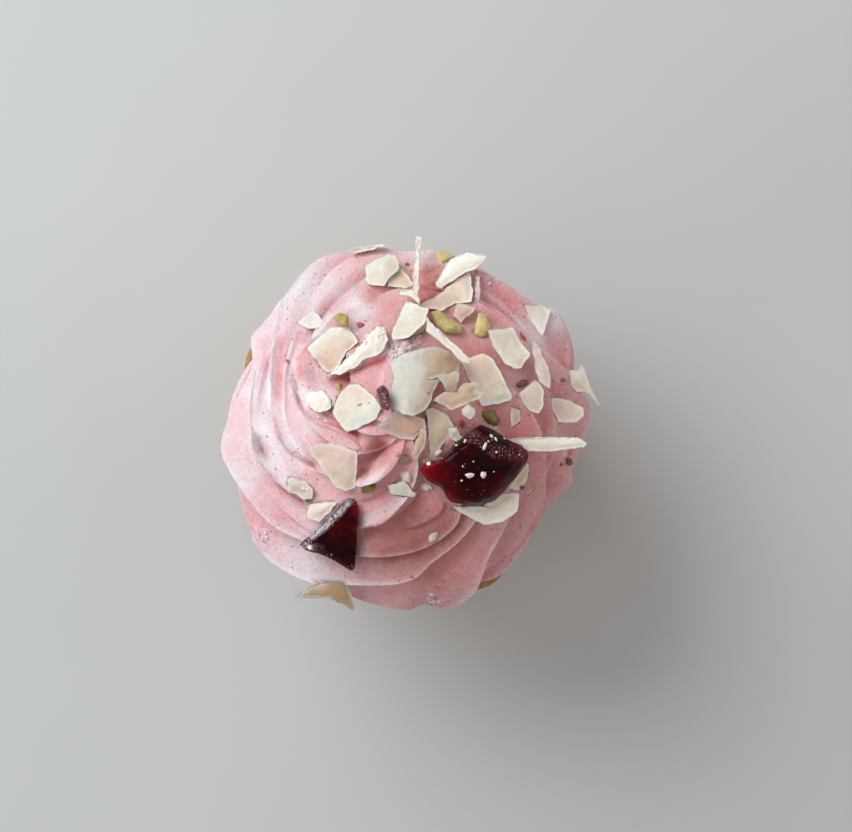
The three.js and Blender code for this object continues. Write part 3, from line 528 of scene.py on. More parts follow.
def cakeProfile():
    # points from the middle of the base, up the wall and over the crown to the top
    c = cakeShape
    wallTop = c["crownHeight"] - c["crownDepth"]
    profile = [(r, 0.0) for r in (0.0, 8.0, 16.0, c["baseRadius"] - c["footRound"])]
    for k in range(1, c["footSteps"] + 1):
        turn = math.radians(90 * k / c["footSteps"])
        profile.append((
            c["baseRadius"] - c["footRound"] * (1 - math.sin(turn)),
            c["footRound"] * (1 - math.cos(turn))))
    for k in range(1, c["wallRings"] + 1):
        t = k / c["wallRings"]
        profile.append((
            c["baseRadius"] + (c["wallTopRadius"] - c["baseRadius"]) * t,
            c["footRound"] + (wallTop - c["footRound"]) * t))
    for k in range(1, c["crownRings"] + 1):
        swell = math.sin(math.pi / 2 * k / c["crownRings"])
        profile.append((
            c["wallTopRadius"] + (c["crownRadius"] - c["wallTopRadius"]) * swell,
            wallTop + c["crownDepth"] * k / c["crownRings"]))
    shares = [k / c["overSteps"] for k in range(1, c["overSteps"] + 1)]
    overCrown = [c["crownRadius"] - (c["crownRadius"] - c["flatTo"]) * share ** 2 for share in shares]
    for radius in (*overCrown, 28.0, 20.0, 10.0, 0.0):
        profile.append((radius, float(cakeTop(np.array(radius)))))
    return profile


def makeCake():
    c = cakeShape
    bm = bmesh.new()
    chain = [bm.verts.new((r * mm, 0, z * mm)) for r, z in cakeProfile()]
    edges = [bm.edges.new(pair) for pair in zip(chain, chain[1:])]
    bmesh.ops.spin(
        bm, geom=chain + edges, cent=(0, 0, 0), axis=(0, 0, 1), dvec=(0, 0, 0),
        angle=2 * math.pi, steps=c["around"], use_merge=True)
    bmesh.ops.remove_doubles(bm, verts=bm.verts, dist=1e-7)
    bmesh.ops.recalc_face_normals(bm, faces=bm.faces)
    bakedLayer = newLayers(bm, "baked")["baked"]
    for v in bm.verts:
        x, y, z = (a / mm for a in v.co)
        radius = math.hypot(x, y)
        wall = min(1.0, z / 2) * min(1.0, max(0.0, (c["crownHeight"] - z) / 4))
        outer = min(1.0, max(0.0, (radius - 23) / 2))
        turn = math.atan2(y, x)
        crease = -c["fluteDepth"] * math.cos(c["wallFlutes"] * turn) ** 3 * wall
        rough = waves(x, y, z, c["waves"])
        reach = c["bulgeOver"] if z > c["crownHeight"] else c["bulgeUnder"]
        swollen = math.exp(-((z - c["crownHeight"]) / reach) ** 2)
        bulge = swollen * float(bulgeAt(c["bulges"], -math.degrees(turn)))
        grow = (crease + bulge + rough * (0.3 + 0.7 * wall)) * outer if z > 0.3 else 0.0
        swell = 1 + grow / max(radius, 1.0)
        v.co.x *= swell
        v.co.y *= swell
        crown = math.exp(-((z - c["crownHeight"]) / 3.0) ** 2)
        foot = math.exp(-(z / 3.0) ** 2)
        blotch = abs(wobble(x, y, z, 7.0, 5.0))
        v[bakedLayer] = min(
            1.0, c["bakedFoot"] * foot + c["bakedCrown"] * crown + c["bakedBlotches"] * blotch)
    return newPiece("cakeSponge", bm, spongeMaterial)


cakePiece = makeCake()
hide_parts("cake")
print("cake made")


# The cream.

swirl = {
    "levelRadius": [31.0, 34.5, 36.2, 34.3, 31.9, 29.8, 26.8, 20.8, 14.9, 7.9, 0],
    "levelHeight": [39.9, 42.8, 46.0, 49.8, 52.4, 54.4, 57.0, 61.6, 65.4, 68.8, 70.5],
    "fluteDepth": [0.7, 2.0, 2.7, 2.6, 2.3, 2.1, 1.9, 1.8, 1.6, 1.1, 0],
    "fluteSkew": [1.7, 1.7, 1.7, 2.0, 2.4, 2.6, 2.8, 2.8, 2.5, 2.1, 1.7],
    "reachShare": [0.8, 1, 1, 0.7, 0.3, 0, 0, 0, 0, 0, 0],
    # where the rim draws in: bearing, width in degrees, depth
    "dents": [
        (17, 7, -0.8), (29, 8, 1.3), (46, 6, -1.0), (84, 4, 1.4), (182, 8, 0.6), (226, 5, -0.9),
        (270, 7, 1.1), (316, 7, 1.3), (345, 5, 1.1)],
    "reach": [-2.3, -1.5, 0.5, 1.3, 0.5, -0.9, 1.3, 0.1, 1.5, 0.2],
    "depth": [0.8, 0.8, 0.9, 1.0, 0.7, 1.1, 0.9, 0.9, 1.2, 1.0],
    "bearings": [  # of each ridge, level by level
        [44, 32, 20, 14, 6, -7, -35, -70, -95, -120],
        [82, 70, 58, 49, 33, 26, 6, -25, -50, -75],
        [102, 90, 77, 68, 63, 58, 43, 15, -10, -35],
        [164, 152, 139, 121, 109, 89, 80, 45, 25, 5],
        [200, 188, 175, 161, 143, 133, 113, 62, 50, 35],
        [238, 226, 212, 207, 200, 173, 158, 113, 96, 75],
        [268, 257, 244, 230, 219, 208, 194, 163, 135, 111],
        [290, 278, 264, 246, 237, 229, 213, 194, 172, 145],
        [350, 338, 324, 311, 268, 250, 231, 215, 200, 175],
        [378, 367, 354, 343, 334, 318, 265, 240, 225, 205],
    ],
    "seamBearing": [430, 417, 387, 353, 316, 275, 238, 200, 165, 140, 118],
    "seamLevel": [2.4, 3.2, 4.6, 4.9, 5.1, 5.6, 6.0, 6.4, 7.1, 8.0, 9.6],
    "seamDrop": 1.3,
    "seamRise": 0.7,
    "gap": 0.3,
    "columnsPerPetal": 47,
    "rows": 204,
    "underRows": 4,
    "lipReach": 0.6,  # how far a crest leans over the flute beside it
    "crest": 0.5,  # height of the thin edge along a crest
    # widths of that edge and of the lip on both sides of a flute, as shares of a petal
    "crestWidths": (0.035, 0.03),
    "lipWidths": (0.05, 0.035),
    "fullDepth": 1.2,  # depth of a flute from which its crests are at their full height
    "foldsFrom": 1.6,  # the level above which the folds begin
    "waves": [(0.26, 7.5, 0.0), (0.09, 2.6, 1.3)],  # unevenness: height, wave and seed
    "crumbWave": 1.1,
    "pressed": 0.12,  # clearance under what lies on the cream
}
lastLevel = len(swirl["levelRadius"]) - 1

# Folds of the cream. A fold stands up along the left of its line and drops away on
# the right: rise and drop are heights, and the widths are how far each one reaches.
folds = [
    {  # the lip of the lower turn, curled over the wedge beside it
        "line": [(-23.6, -10.6), (-25.8, -9.2), (-28.2, -6.6), (-29.7, -3.6), (-30.4, -1.0)],
        "rise": 0.9, "riseWidth": 0.8, "drop": 1.6, "dropWidth": 1.1,
    },
    {  # the crack between two petals
        "line": [
            (-16.1, -8.9), (-18.4, -7.6), (-21.4, -5.4), (-23.6, -3.0), (-25.2, -0.5), (-26.3, 2.4)],
        "rise": 0.6, "riseWidth": 1.2, "drop": 0.7, "dropWidth": 0.8,
    },
    {  # the edge of the upper turn round its hollow
        "line": [
            (-9.3, -3.4), (-9.9, -1.5), (-12.5, -0.1), (-16.1, 1.1), (-18.2, 1.8), (-19.6, 2.7),
            (-21.1, 4.9), (-21.8, 6.4), (-22.1, 8.0), (-22.5, 9.9), (-22.3, 12.4)],
        "rise": 0.7, "riseWidth": 1.2, "drop": 1.1, "dropWidth": 1.0,
    },
    {  # the crest above the hollow
        "line": [(-15.4, 9.4), (-12.3, 10.8), (-9.0, 12.5), (-6.0, 13.6), (-3.6, 14.4)],
        "rise": 1.0, "riseWidth": 1.8, "drop": 1.4, "dropWidth": 1.4,
    },
    {  # the crest that climbs beside the chip on the upper left
        "line": [(-22.2, 13.4), (-20.6, 14.6), (-18.8, 16.8), (-16.0, 19.6), (-13.6, 22.9)],
        "rise": 0.5, "riseWidth": 0.8, "drop": -0.2, "dropWidth": 0.8,
    },
    {  # the edge of the third petal under the upper turn
        "line": [(-8.6, -19.6), (-5.2, -18.8), (-0.2, -15.8), (3.3, -11.8)],
        "rise": 1.0, "riseWidth": 1.6, "drop": 0.7, "dropWidth": 1.0,
    },
    {  # the edge of the next one
        "line": [(-1.2, -19.7), (2.3, -19.2), (6.7, -16.8), (7.7, -14.3)],
        "rise": 0.5, "riseWidth": 1.8, "drop": 0.5, "dropWidth": 0.8,
    },
    {  # the thin lip at the end of the upper turn
        "line": [(-8.9, -4.4), (-9.2, -3.4), (-10.6, -1.9), (-14.0, 0.6)],
        "rise": 0.8, "riseWidth": 0.6, "drop": 0.4, "dropWidth": 0.6,
    },
    {  # the front edge of the petal over the lower turn
        "line": [(-26.4, -8.4), (-24.8, -11.4), (-21.6, -13.6), (-17.6, -15.0), (-13.0, -15.4)],
        "rise": 0.6, "riseWidth": 1.6, "drop": 1.0, "dropWidth": 0.9,
    },
    {  # folds of the red stain at the top
        "line": [(-1.6, 29.0), (1.0, 27.6), (4.4, 27.8), (7.4, 29.2)],
        "rise": 0.6, "riseWidth": 0.8, "drop": 0.4, "dropWidth": 0.8,
    },
    {
        "line": [(-0.4, 32.2), (2.6, 30.8), (5.4, 31.6), (7.2, 33.0)],
        "rise": 0.5, "riseWidth": 0.8, "drop": 0.6, "dropWidth": 0.8,
    },
]
petalCrack = [(-17.0, -8.1), (-19.8, -6.7), (-22.6, -5.0), (-24.2, -3.0), (-25.6, -0.4)]
# Grooves and rounded ridges: line, half width and depth, with ridges below zero.
grooves = [
    ([(-3.4, -2.6), (-6.0, -5.2), (-8.0, -7.8), (-9.2, -10.4)], 1.9, 2.4),
    ([(-1.4, -2.6), (-1.6, -5.0), (-4.6, -8.4), (-7.4, -10.6), (-10.4, -12.0)], 1.5, -1.7),
    ([(0.4, -8.4), (-1.7, -11.2), (-5.9, -14.2), (-9.4, -15.2)], 0.8, 0.9),
    (petalCrack, 0.4, 0.8),
    ([(-26.4, 3.0), (-26.6, 6.0), (-26.5, 10.4), (-26.2, 14.4), (-25.4, 18.6)], 0.4, -0.45),
    ([(-22.4, -1.0), (-23.5, 2.0), (-23.7, 6.0), (-23.5, 11.0), (-22.6, 14.6), (-21.4, 19.0)],
     0.4, -0.45),
    ([(-29.4, 1.0), (-29.0, 6.0), (-28.2, 10.0), (-27.1, 13.4), (-26.2, 16.8)], 0.5, -0.4),
    ([(-25.1, 4.0), (-25.0, 9.0), (-24.8, 14.0), (-23.9, 18.6)], 0.7, 0.35),
    ([(-26.2, -9.2), (-24.6, -11.8), (-21.4, -14.0), (-19.0, -14.8)], 0.35, 0.6),
    ([(-22.4, 9.6), (-22.0, 7.6), (-21.0, 4.6), (-19.4, 2.4)], 0.3, 0.5),
    ([(-17.0, 3.2), (-13.6, 1.6), (-10.4, -0.4)], 0.35, 0.4),
    ([(-31.6, -3.0), (-30.4, -8.0), (-27.0, -14.0), (-22.0, -19.0), (-16.0, -22.6)], 0.35, 0.5),
    ([(31.6, 17.0), (30.8, 21.0), (28.4, 24.8)], 0.9, -0.8),
]


def limitedSlope(before, after):
    total = before + after
    safe = np.where(np.abs(total) < 1e-12, 1, total)
    return np.where(before * after > 0, 2 * before * after / safe, 0)


def smoothValue(values, at):
    values = np.asarray(values, float)
    last = len(values) - 1
    i = np.clip(np.floor(at).astype(int), 0, last - 1)
    t = at - i
    p1, p2 = values[i], values[i + 1]
    p0 = np.where(i > 0, values[np.maximum(i - 1, 0)], 2 * p1 - p2)
    p3 = np.where(i < last - 1, values[np.minimum(i + 2, last)], 2 * p2 - p1)
    m1, m2 = limitedSlope(p1 - p0, p2 - p1), limitedSlope(p2 - p1, p3 - p2)
    t2, t3 = t * t, t * t * t
    return (2 * t3 - 3 * t2 + 1) * p1 + (t3 - 2 * t2 + t) * m1 + (3 * t2 - 2 * t3) * p2 + (t3 - t2) * m2


def seamOffset(bearing, level):
    first, last = swirl["seamBearing"][0], swirl["seamBearing"][-1]
    turned = (bearing - last) % 360 + last
    turned = np.where(turned > first, turned - 360, turned)
    fade = np.clip((turned - last) / 30, 0, 1)
    seam = np.interp(turned, swirl["seamBearing"][::-1], swirl["seamLevel"][::-1])
    inward = level - seam
    upper = 0.5 + 0.5 * np.tanh(inward / 0.2)
    drop = -swirl["seamDrop"] * np.exp(-np.abs(inward) / 0.8)
    rise = swirl["seamRise"] * np.exp(-np.abs(inward) / 1.2)
    return fade * (drop + (rise - drop) * upper)


def curveThrough(points, steps=5):
    # places along a smooth curve through points of the plan
    points = np.array(points, float)
    ends = [2 * points[0] - points[1], *points, 2 * points[-1] - points[-2]]
    places = []
    for p0, p1, p2, p3 in zip(ends, ends[1:], ends[2:], ends[3:]):
        for t in np.arange(steps) / steps:
            places.append(0.5 * (
                2 * p1 + (p2 - p0) * t + (2 * p0 - 5 * p1 + 4 * p2 - p3) * t ** 2
                + (3 * p1 - p0 - 3 * p2 + p3) * t ** 3))
    return [*places, points[-1]]


def lineDistance(x, y, points):
    # distance to a curve, positive on its left, and the share of the way along it
    places = curveThrough(points)
    best = np.full(np.shape(x), 1e6)
    share = np.zeros(np.shape(x))
    for k, (start, end) in enumerate(zip(places, places[1:])):
        alongX, alongY = end - start
        along = (x - start[0]) * alongX + (y - start[1]) * alongY
        t = np.clip(along / (alongX ** 2 + alongY ** 2), 0, 1)
        dx, dy = x - start[0] - t * alongX, y - start[1] - t * alongY
        away = np.hypot(dx, dy)
        closer = away < np.abs(best)
        side = np.where(alongX * dy - alongY * dx < 0, -1, 1)
        best = np.where(closer, away * side, best)
        share = np.where(closer, (k + t) / (len(places) - 1), share)
    return best, share


def endFade(share, reach):
    # from 0 at both ends of a line to 1 at this share of its length
    return np.clip(share / reach, 0, 1) * np.clip((1 - share) / reach, 0, 1)


def alongLines(x, y, lines, power):
    # a sum over lines: line, half width and amount of each
    total = np.zeros(np.shape(x))
    for line, halfWidth, amount in lines:
        away, share = lineDistance(x, y, line)
        total += amount * endFade(share, 0.15) * np.exp(-(away / halfWidth) ** power)
    return total


def spot(x, y, placeX, placeY, radius):
    return np.exp(-((x - placeX) ** 2 + (y - placeY) ** 2) / radius ** 2)


def atSpots(x, y, spots):
    # a sum over round spots: place, radius and amount of each
    total = np.zeros(np.shape(x))
    for placeX, placeY, radius, amount in spots:
        total += amount * spot(x, y, placeX, placeY, radius)
    return total


def foldOffset(x, y):
    # how far the folds lift or lower the cream
    total = np.zeros(np.shape(x))
    for fold in folds:
        away, share = lineDistance(x, y, fold["line"])
        upper = 0.5 + 0.5 * np.tanh(away / 0.14)
        rise = fold["rise"] * np.exp(-np.abs(away) / fold["riseWidth"])
        drop = -fold["drop"] * np.exp(-np.abs(away) / fold["dropWidth"])
        total += endFade(share, 0.12) * (drop + (rise - drop) * upper)
    return total - alongLines(x, y, grooves, 2)


def creamLevels():
    # levels of the rows, evenly spaced along the profile
    fine = np.linspace(0, lastLevel, 2001)
    radius, height = smoothValue(swirl["levelRadius"], fine), smoothValue(swirl["levelHeight"], fine)
    along = np.concatenate([[0], np.cumsum(np.hypot(np.diff(radius), np.diff(height)))])
    return np.interp(np.linspace(0, along[-1], swirl["rows"] + 1), along, fine)


def nearCrests(across, widths):
    # 1 on the crests at both sides of a flute, and fading from them
    return np.exp(-across / widths[0]) + np.exp(-(1 - across) / widths[1])


def creamSurface():
    # places of the cream's points as rows by columns, with the petal share of each column
    petals = len(swirl["bearings"])
    per = swirl["columnsPerPetal"]
    column = np.arange(petals * per)
    petal = column // per
    step = (column % per) / per
    across = 0.45 * step + 0.55 * np.sin(step * math.pi / 2)
    level = creamLevels()[:, None]
    ridgeLines = []
    for index in range(petals + 1):
        line = swirl["bearings"][index % petals]
        ridgeLines.append(smoothValue([*line, line[-1] - 20], level[:, 0]) + 360 * (index // petals))
    ridgeLines = np.array(ridgeLines).T
    own, following = ridgeLines[:, petal], ridgeLines[:, petal + 1]
    bearing = own + (following - own) * across
    radius = smoothValue(swirl["levelRadius"], level)
    height = smoothValue(swirl["levelHeight"], level)
    before, after = np.maximum(0, level - 0.05), np.minimum(lastLevel, level + 0.05)
    alongRadius = smoothValue(swirl["levelRadius"], after) - smoothValue(swirl["levelRadius"], before)
    alongHeight = smoothValue(swirl["levelHeight"], after) - smoothValue(swirl["levelHeight"], before)
    length = np.hypot(alongRadius, alongHeight)

    def petalValue(values):
        values = np.array(values)
        return values[petal] + (values[(petal + 1) % petals] - values[petal]) * across

    depth = smoothValue(swirl["fluteDepth"], level) * petalValue(swirl["depth"])
    flute = np.sin(math.pi * across ** smoothValue(swirl["fluteSkew"], level))
    offset = seamOffset(bearing, level + 0 * bearing) * (level < lastLevel) - depth * flute
    cut = np.minimum(1, depth / swirl["fullDepth"])
    offset += swirl["crest"] * cut * (nearCrests(across, swirl["crestWidths"]) - 0.25)
    share = smoothValue(swirl["reachShare"], level)
    reach = petalValue(swirl["reach"]) * share - bulgeAt(swirl["dents"], bearing) * share
    outX, outZ = alongHeight / length, -alongRadius / length
    r = radius + outX * offset + reach
    z = height + outZ * offset
    # the crests lean over the flute beside them
    lean = swirl["lipReach"] * nearCrests(across, swirl["lipWidths"]) * cut * np.minimum(1, r / 12)
    turn = -np.radians(bearing) + lean / np.maximum(r, 4)
    folded = foldOffset(r * np.cos(turn), r * np.sin(turn))
    folded = folded * np.clip(level - swirl["foldsFrom"], 0, 1)
    r = r + outX * folded
    z = z + outZ * folded
    z = np.maximum(z, cakeTop(np.minimum(r, cakeShape["crownRadius"])) + swirl["gap"])
    places = np.stack([r * np.cos(turn), r * np.sin(turn), z], axis=-1)
    return places, across, level


def pressedUnder(places, toppings):
    # lowers the cream where something lies on it
    rows, columns, _ = places.shape
    drop = np.zeros((rows, columns))
    for node in toppings:
        tree = coverTree([node])
        corners = np.array([v.co for v in node.data.vertices]) / mm
        low, high = corners.min(0) - 0.2, corners.max(0) + 0.2
        inside = (
            (places[..., 0] > low[0]) & (places[..., 0] < high[0])
            & (places[..., 1] > low[1]) & (places[..., 1] < high[1])
            & (places[..., 2] > low[2] - 1))
        for i, j in zip(*np.nonzero(inside)):
            x, y, z = places[i, j]
            hit = tree.ray_cast(Vector((x * mm, y * mm, (low[2] - 5) * mm)), Vector((0, 0, 1)))
            if hit[0] is not None:
                under = hit[0].z / mm - swirl["pressed"]
                drop[i, j] = min(drop[i, j], under - z)
    around = np.roll(drop, 1, 1) + np.roll(drop, -1, 1)
    around[1:-1] += drop[:-2] + drop[2:]
    drop = np.minimum(drop, around / 4 * 0.7)
    places[..., 2] += drop
    return places


# Hollows of the cream: place, radius and depth.
hollows = [
    (-17.5, 8.6, 3.2, 1.0),
    (-9.0, 11.2, 3.4, 0.9),
    (-6.4, -5.0, 2.6, 0.8),
    (-28.9, -3.8, 1.4, 1.1),
]
# Where the rim is crumbly: place, radius and height of the crumbs.
crumblySpots = [
    (-28.6, -21.0, 2.6, 0.7),
    (5.8, -34.6, 2.4, 0.6),
    (17.0, 30.2, 2.2, 0.5),
    (-29.0, 17.5, 3.0, 0.25),
    (3.6, 30.2, 3.0, 0.6),
    (-1.0, 16.5, 4.0, 0.5),
]
# How pink the cream is, from 0 to 1, with patches of place, radius and change. The patches are partly
# the cream's own colour and partly painted light and shade: paler where the light falls, pinker in
# shade.
creamTint = {
    "base": 0.56,
    # painted shade: the middle of each flute is pinker, as the cream looks in its hollows
    "flute": 0.22,
    # painted highlight: the thin crests are paler where the light catches them
    "crest": 0.22,  # how much paler the thin crests are
    "crestWidth": 0.035,  # as a share of a petal
    # painted shade: the side of a fold that drops away is pinker
    "shaded": 0.45,  # how much pinker the hidden side of a fold is
    "patches": [
        (-32.0, 4.0, 12.0, -0.40), (-24.0, 25.0, 11.0, -0.66), (-20.0, -23.0, 11.0, -0.42),
        (-27.5, -1.5, 4.0, -0.45), (-18.0, -3.0, 7.0, -0.15), (-32.5, -8.5, 5.0, -0.45),
        (-29.5, 7.5, 3.5, -0.45), (-24.0, -5.0, 4.5, -0.50), (-20.0, -2.0, 3.5, -0.35),
        (-19.0, 7.0, 3.0, -0.70), (-18.0, -26.5, 7.0, -0.40), (-5.0, -29.5, 4.0, -0.10),
        (-24.0, -21.0, 4.0, 0.12), (30.0, 22.0, 3.0, -0.80), (25.0, 19.0, 3.0, -0.85),
        (19.0, 25.5, 4.0, 0.35), (3.0, 35.0, 4.0, -0.50), (-20.0, 28.0, 4.0, -0.45),
        (-9.0, 24.0, 2.5, -1.00), (-13.0, 27.0, 3.0, -0.25), (1.0, 34.0, 8.0, -0.25),
        (30.0, 18.0, 12.0, -0.20), (8.0, 22.0, 10.0, -0.20), (24.0, 0.0, 4.0, 0.35),
        (31.0, 8.0, 6.0, 0.15), (30.0, -12.0, 8.0, 0.15), (-2.0, -22.0, 8.0, 0.22),
        (8.0, -24.0, 9.0, 0.22), (-6.5, -5.5, 3.0, -0.10), (-16.0, 24.0, 3.0, 0.25),
        (-31.5, -11.0, 3.0, -0.20), (-16.0, -2.0, 2.5, 0.30), (-3.4, 24.0, 2.0, 0.30),
        (8.0, -17.0, 3.0, 0.20),
    ],
    # painted shade: darker cream where shade falls: place, radius, amount
    "paintedShade": [
        (1.0, -20.5, 6.0, 0.56), (8.0, -20.0, 4.0, 0.44), (-4.0, -25.0, 3.5, 0.50),
        (3.0, -25.0, 3.0, 0.34), (6.0, -31.0, 4.0, 0.25), (-16.0, -1.6, 1.5, 0.14),
        (-5.0, -3.6, 2.2, 1.00), (-8.6, -7.4, 1.8, 0.25), (-3.6, -7.0, 1.2, 0.25),
        (-3.4, -12.6, 1.6, 0.20), (2.0, -16.8, 2.0, 0.2), (-14.4, 9.2, 1.6, 0.35),
        (-28.4, -4.6, 1.4, 0.55), (-16.6, 9.6, 2.2, 0.12),
    ],
    # pinker bands, partly the cream's own colour and partly painted shade in the hollows: line, half
    # width, change
    "bands": [
        ([(-23.9, 19.4), (-24.6, 15.4), (-25.0, 11.6), (-25.0, 8.6), (-25.0, 4.6)], 1.2, 0.35),
        ([(-24.9, 11.4), (-25.0, 8.0), (-25.0, 4.6)], 1.0, 0.25),
        ([(-27.0, 14.6), (-28.0, 10.6), (-28.6, 6.4)], 0.7, 0.30),
        ([(-21.1, 14.4), (-20.9, 11.6), (-20.7, 9.2)], 0.6, 0.40),
        ([(-22.0, 17.0), (-19.6, 18.8), (-17.0, 21.5)], 1.3, 0.35),
        ([(-24.0, 1.8), (-21.1, -1.4), (-16.4, -7.4)], 1.5, 0.25),
        ([(-27.0, -16.0), (-20.0, -21.0), (-12.0, -25.5)], 1.6, 0.30),
    ],
    # painted shade: dark lines in the cracks, where shade falls: line, half width, amount
    "cracks": [
        (petalCrack, 0.3, 0.55),
        ([(-10.4, -2.0), (-13.6, -0.6), (-17.4, 0.9), (-19.6, 2.4), (-21.2, 5.0), (-21.8, 7.6)],
         0.35, 0.35),
        ([(-27.9, -7.6), (-29.0, -4.6), (-30.2, -2.2)], 0.3, 0.35),
        ([(-8.4, -17.0), (-12.0, -15.9), (-17.0, -15.4), (-21.6, -14.0), (-25.2, -10.6)], 0.4, 0.2),
    ],
    # painted highlight: pale thin crests where the light catches them: line, half width, change
    "pale": [
        ([(-26.8, 3.0), (-27.0, 6.0), (-26.9, 10.4), (-26.6, 14.4), (-25.8, 18.6)], 0.3, -0.5),
        ([(-22.8, -1.0), (-23.9, 2.0), (-24.1, 6.0), (-23.9, 11.0), (-23.0, 14.6), (-21.8, 19.0)],
         0.3, -0.5),
        ([(-21.9, 5.4), (-22.7, 8.4), (-22.8, 11.0), (-22.1, 13.8)], 0.3, -0.5),
        ([(-27.6, 12.8), (-28.0, 8.0), (-28.4, 2.0), (-27.6, -2.0)], 1.0, -0.3),
        ([(-30.8, -1.4), (-29.6, -5.0), (-27.2, -8.6)], 0.35, -0.3),
        ([(-26.2, -4.4), (-24.8, -8.8), (-21.4, -11.4), (-17.6, -12.6)], 1.4, -0.35),
        ([(-2.8, -6.8), (-5.4, -9.2), (-8.4, -11.4)], 0.8, -0.5),
        ([(0.6, -12.8), (-2.0, -15.0), (-5.4, -17.0), (-8.8, -18.6)], 1.1, -0.6),
        ([(-21.6, -28.6), (-12.0, -30.4), (-4.0, -30.6)], 0.6, -0.25),
        ([(-12.3, 11.4), (-9.0, 13.0), (-6.0, 14.2)], 0.9, -0.5),
        ([(-18.8, 16.8), (-16.0, 19.6), (-13.6, 22.9)], 0.7, -0.4),
        ([(12.6, 28.4), (17.6, 25.4), (22.4, 21.0), (25.6, 16.2), (27.6, 10.6)], 0.4, -0.5),
        ([(11.6, 22.8), (15.8, 20.8), (20.6, 17.8)], 0.4, -0.35),
    ],
    # coral stains: place, radius, amount
    "stains": [
        (1.6, 30.4, 2.6, 0.35), (5.0, 30.0, 2.8, 0.36), (7.0, 27.2, 2.0, 0.4),
        (-7.0, 26.0, 1.8, 0.6), (-8.2, 34.9, 1.0, 0.5), (-11.6, 9.2, 1.6, 0.5),
        (9.6, 20.4, 3.0, 0.25), (3.0, 24.6, 3.0, 0.4), (-9.6, 15.8, 2.0, 0.4),
        (23.0, 18.1, 1.5, 0.35), (17.5, 14.0, 2.6, 0.25), (-13.0, 4.4, 1.0, 0.4),
        (5.2, -9.5, 1.6, 0.35), (-15.6, -15.0, 1.4, 0.35), (10.0, 17.0, 9.0, 0.22),
        (13.0, 6.0, 7.0, 0.2), (20.0, 3.0, 6.0, 0.16), (-1.0, -2.0, 8.0, 0.18),
        (4.0, 24.0, 6.0, 0.2),
    ],
}


def creamTones(x, y, across, level):
    # pinkness, coral stain and painted shade of the cream at places of the plan
    # painted shade: the middle of each flute is pinker; painted highlight: the thin crests are paler
    pulp = creamTint["base"] + creamTint["flute"] * np.sin(math.pi * across) - creamTint["flute"] / 2
    width = creamTint["crestWidth"]
    crest = np.exp(-(across / width) ** 2) + np.exp(-((1 - across) / width) ** 2)
    pulp = pulp - creamTint["crest"] * crest * np.clip(level - 0.6, 0, 1)
    pulp = pulp + atSpots(x, y, creamTint["patches"])
    for fold in folds:
        # painted shade: the side that drops away is pinker
        away, share = lineDistance(x, y, fold["line"])
        shaded = endFade(share, 0.12) * (away < 0.1) * np.exp(-np.abs(away) / fold["dropWidth"])
        pulp = pulp + creamTint["shaded"] * shaded
    pulp = pulp + alongLines(x, y, creamTint["bands"] + creamTint["pale"], 4)
    stain = atSpots(x, y, creamTint["stains"])
    shadeAmount = atSpots(x, y, creamTint["paintedShade"]) + alongLines(x, y, creamTint["cracks"], 2)
    return np.maximum(pulp, -0.5), np.clip(stain, 0, 1), np.clip(shadeAmount, 0, 1)


def makeCream():
    places, across, level = creamSurface()
    rows, columns, _ = places.shape
    x, y = places[..., 0], places[..., 1]
    hollow = atSpots(x, y, hollows)
    crumbly = 0.05 + atSpots(x, y, crumblySpots)
    # small unevenness of the cream
    swell = np.zeros((rows, columns))
    for i in range(rows):
        for j in range(columns):
            place = places[i, j]
            swell[i, j] = waves(*place, swirl["waves"])
            swell[i, j] += crumbly[i, j] * wobble(*place, swirl["crumbWave"], 2.1)
    fade = np.minimum(1, level / 0.5) * np.minimum(1, (lastLevel - level) / 0.4)
    swell = swell * fade
    radius = np.hypot(x, y)
    slope = np.clip((radius - 24) / 12, 0, 1)
    places[..., 2] += swell * (1 - 0.7 * slope) - hollow
    for axis in (0, 1):
        places[..., axis] *= 1 + swell * slope / np.maximum(radius, 6)
    toppings = [node for name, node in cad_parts.items() if name not in ("cake", "cream")]
    places = pressedUnder(places, toppings)
    x, y = places[..., 0], places[..., 1]
    floorHeight = cakeTop(np.minimum(np.hypot(x, y), cakeShape["crownRadius"]))
    places[..., 2] = np.maximum(places[..., 2], floorHeight + swirl["gap"] * 0.5)
    pulp, stain, shadeAmount = creamTones(x, y, across, level)
    # the underside, from its middle out to the foot
    under = []
    for k in range(swirl["underRows"]):
        share = k / swirl["underRows"]
        ring = places[0] * share
        ring[:, 2] = cakeTop(np.hypot(ring[:, 0], ring[:, 1])) + swirl["gap"] * 0.5
        under.append(ring)
    places = np.concatenate([np.array(under), places])
    bm = bmesh.new()
    totalRows = len(places) - 1
    bmesh.ops.create_grid(bm, x_segments=columns, y_segments=totalRows, size=0.5)
    layers = newLayers(bm, "pulp", "stain", "shadeAmount")
    for v in bm.verts:
        j = round((v.co.x + 0.5) * columns) % columns
        i = round((v.co.y + 0.5) * totalRows)
        v.co = places[i, j] * mm
        row = max(0, i - swirl["underRows"])
        v[layers["pulp"]] = float(pulp[row, j]) + 0.16 * wobble(*places[i, j], 12.0, 9.0)
        v[layers["stain"]] = float(stain[row, j])
        v[layers["shadeAmount"]] = float(shadeAmount[row, j])
    bmesh.ops.remove_doubles(bm, verts=bm.verts, dist=2e-6)
    bmesh.ops.recalc_face_normals(bm, faces=bm.faces)
    return newPiece("creamSwirl", bm, creamMaterial, 80)


creamPiece = makeCream()
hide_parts("cream")
print("cream made:", len(creamPiece.data.polygons), "faces")


# The coconut chips.

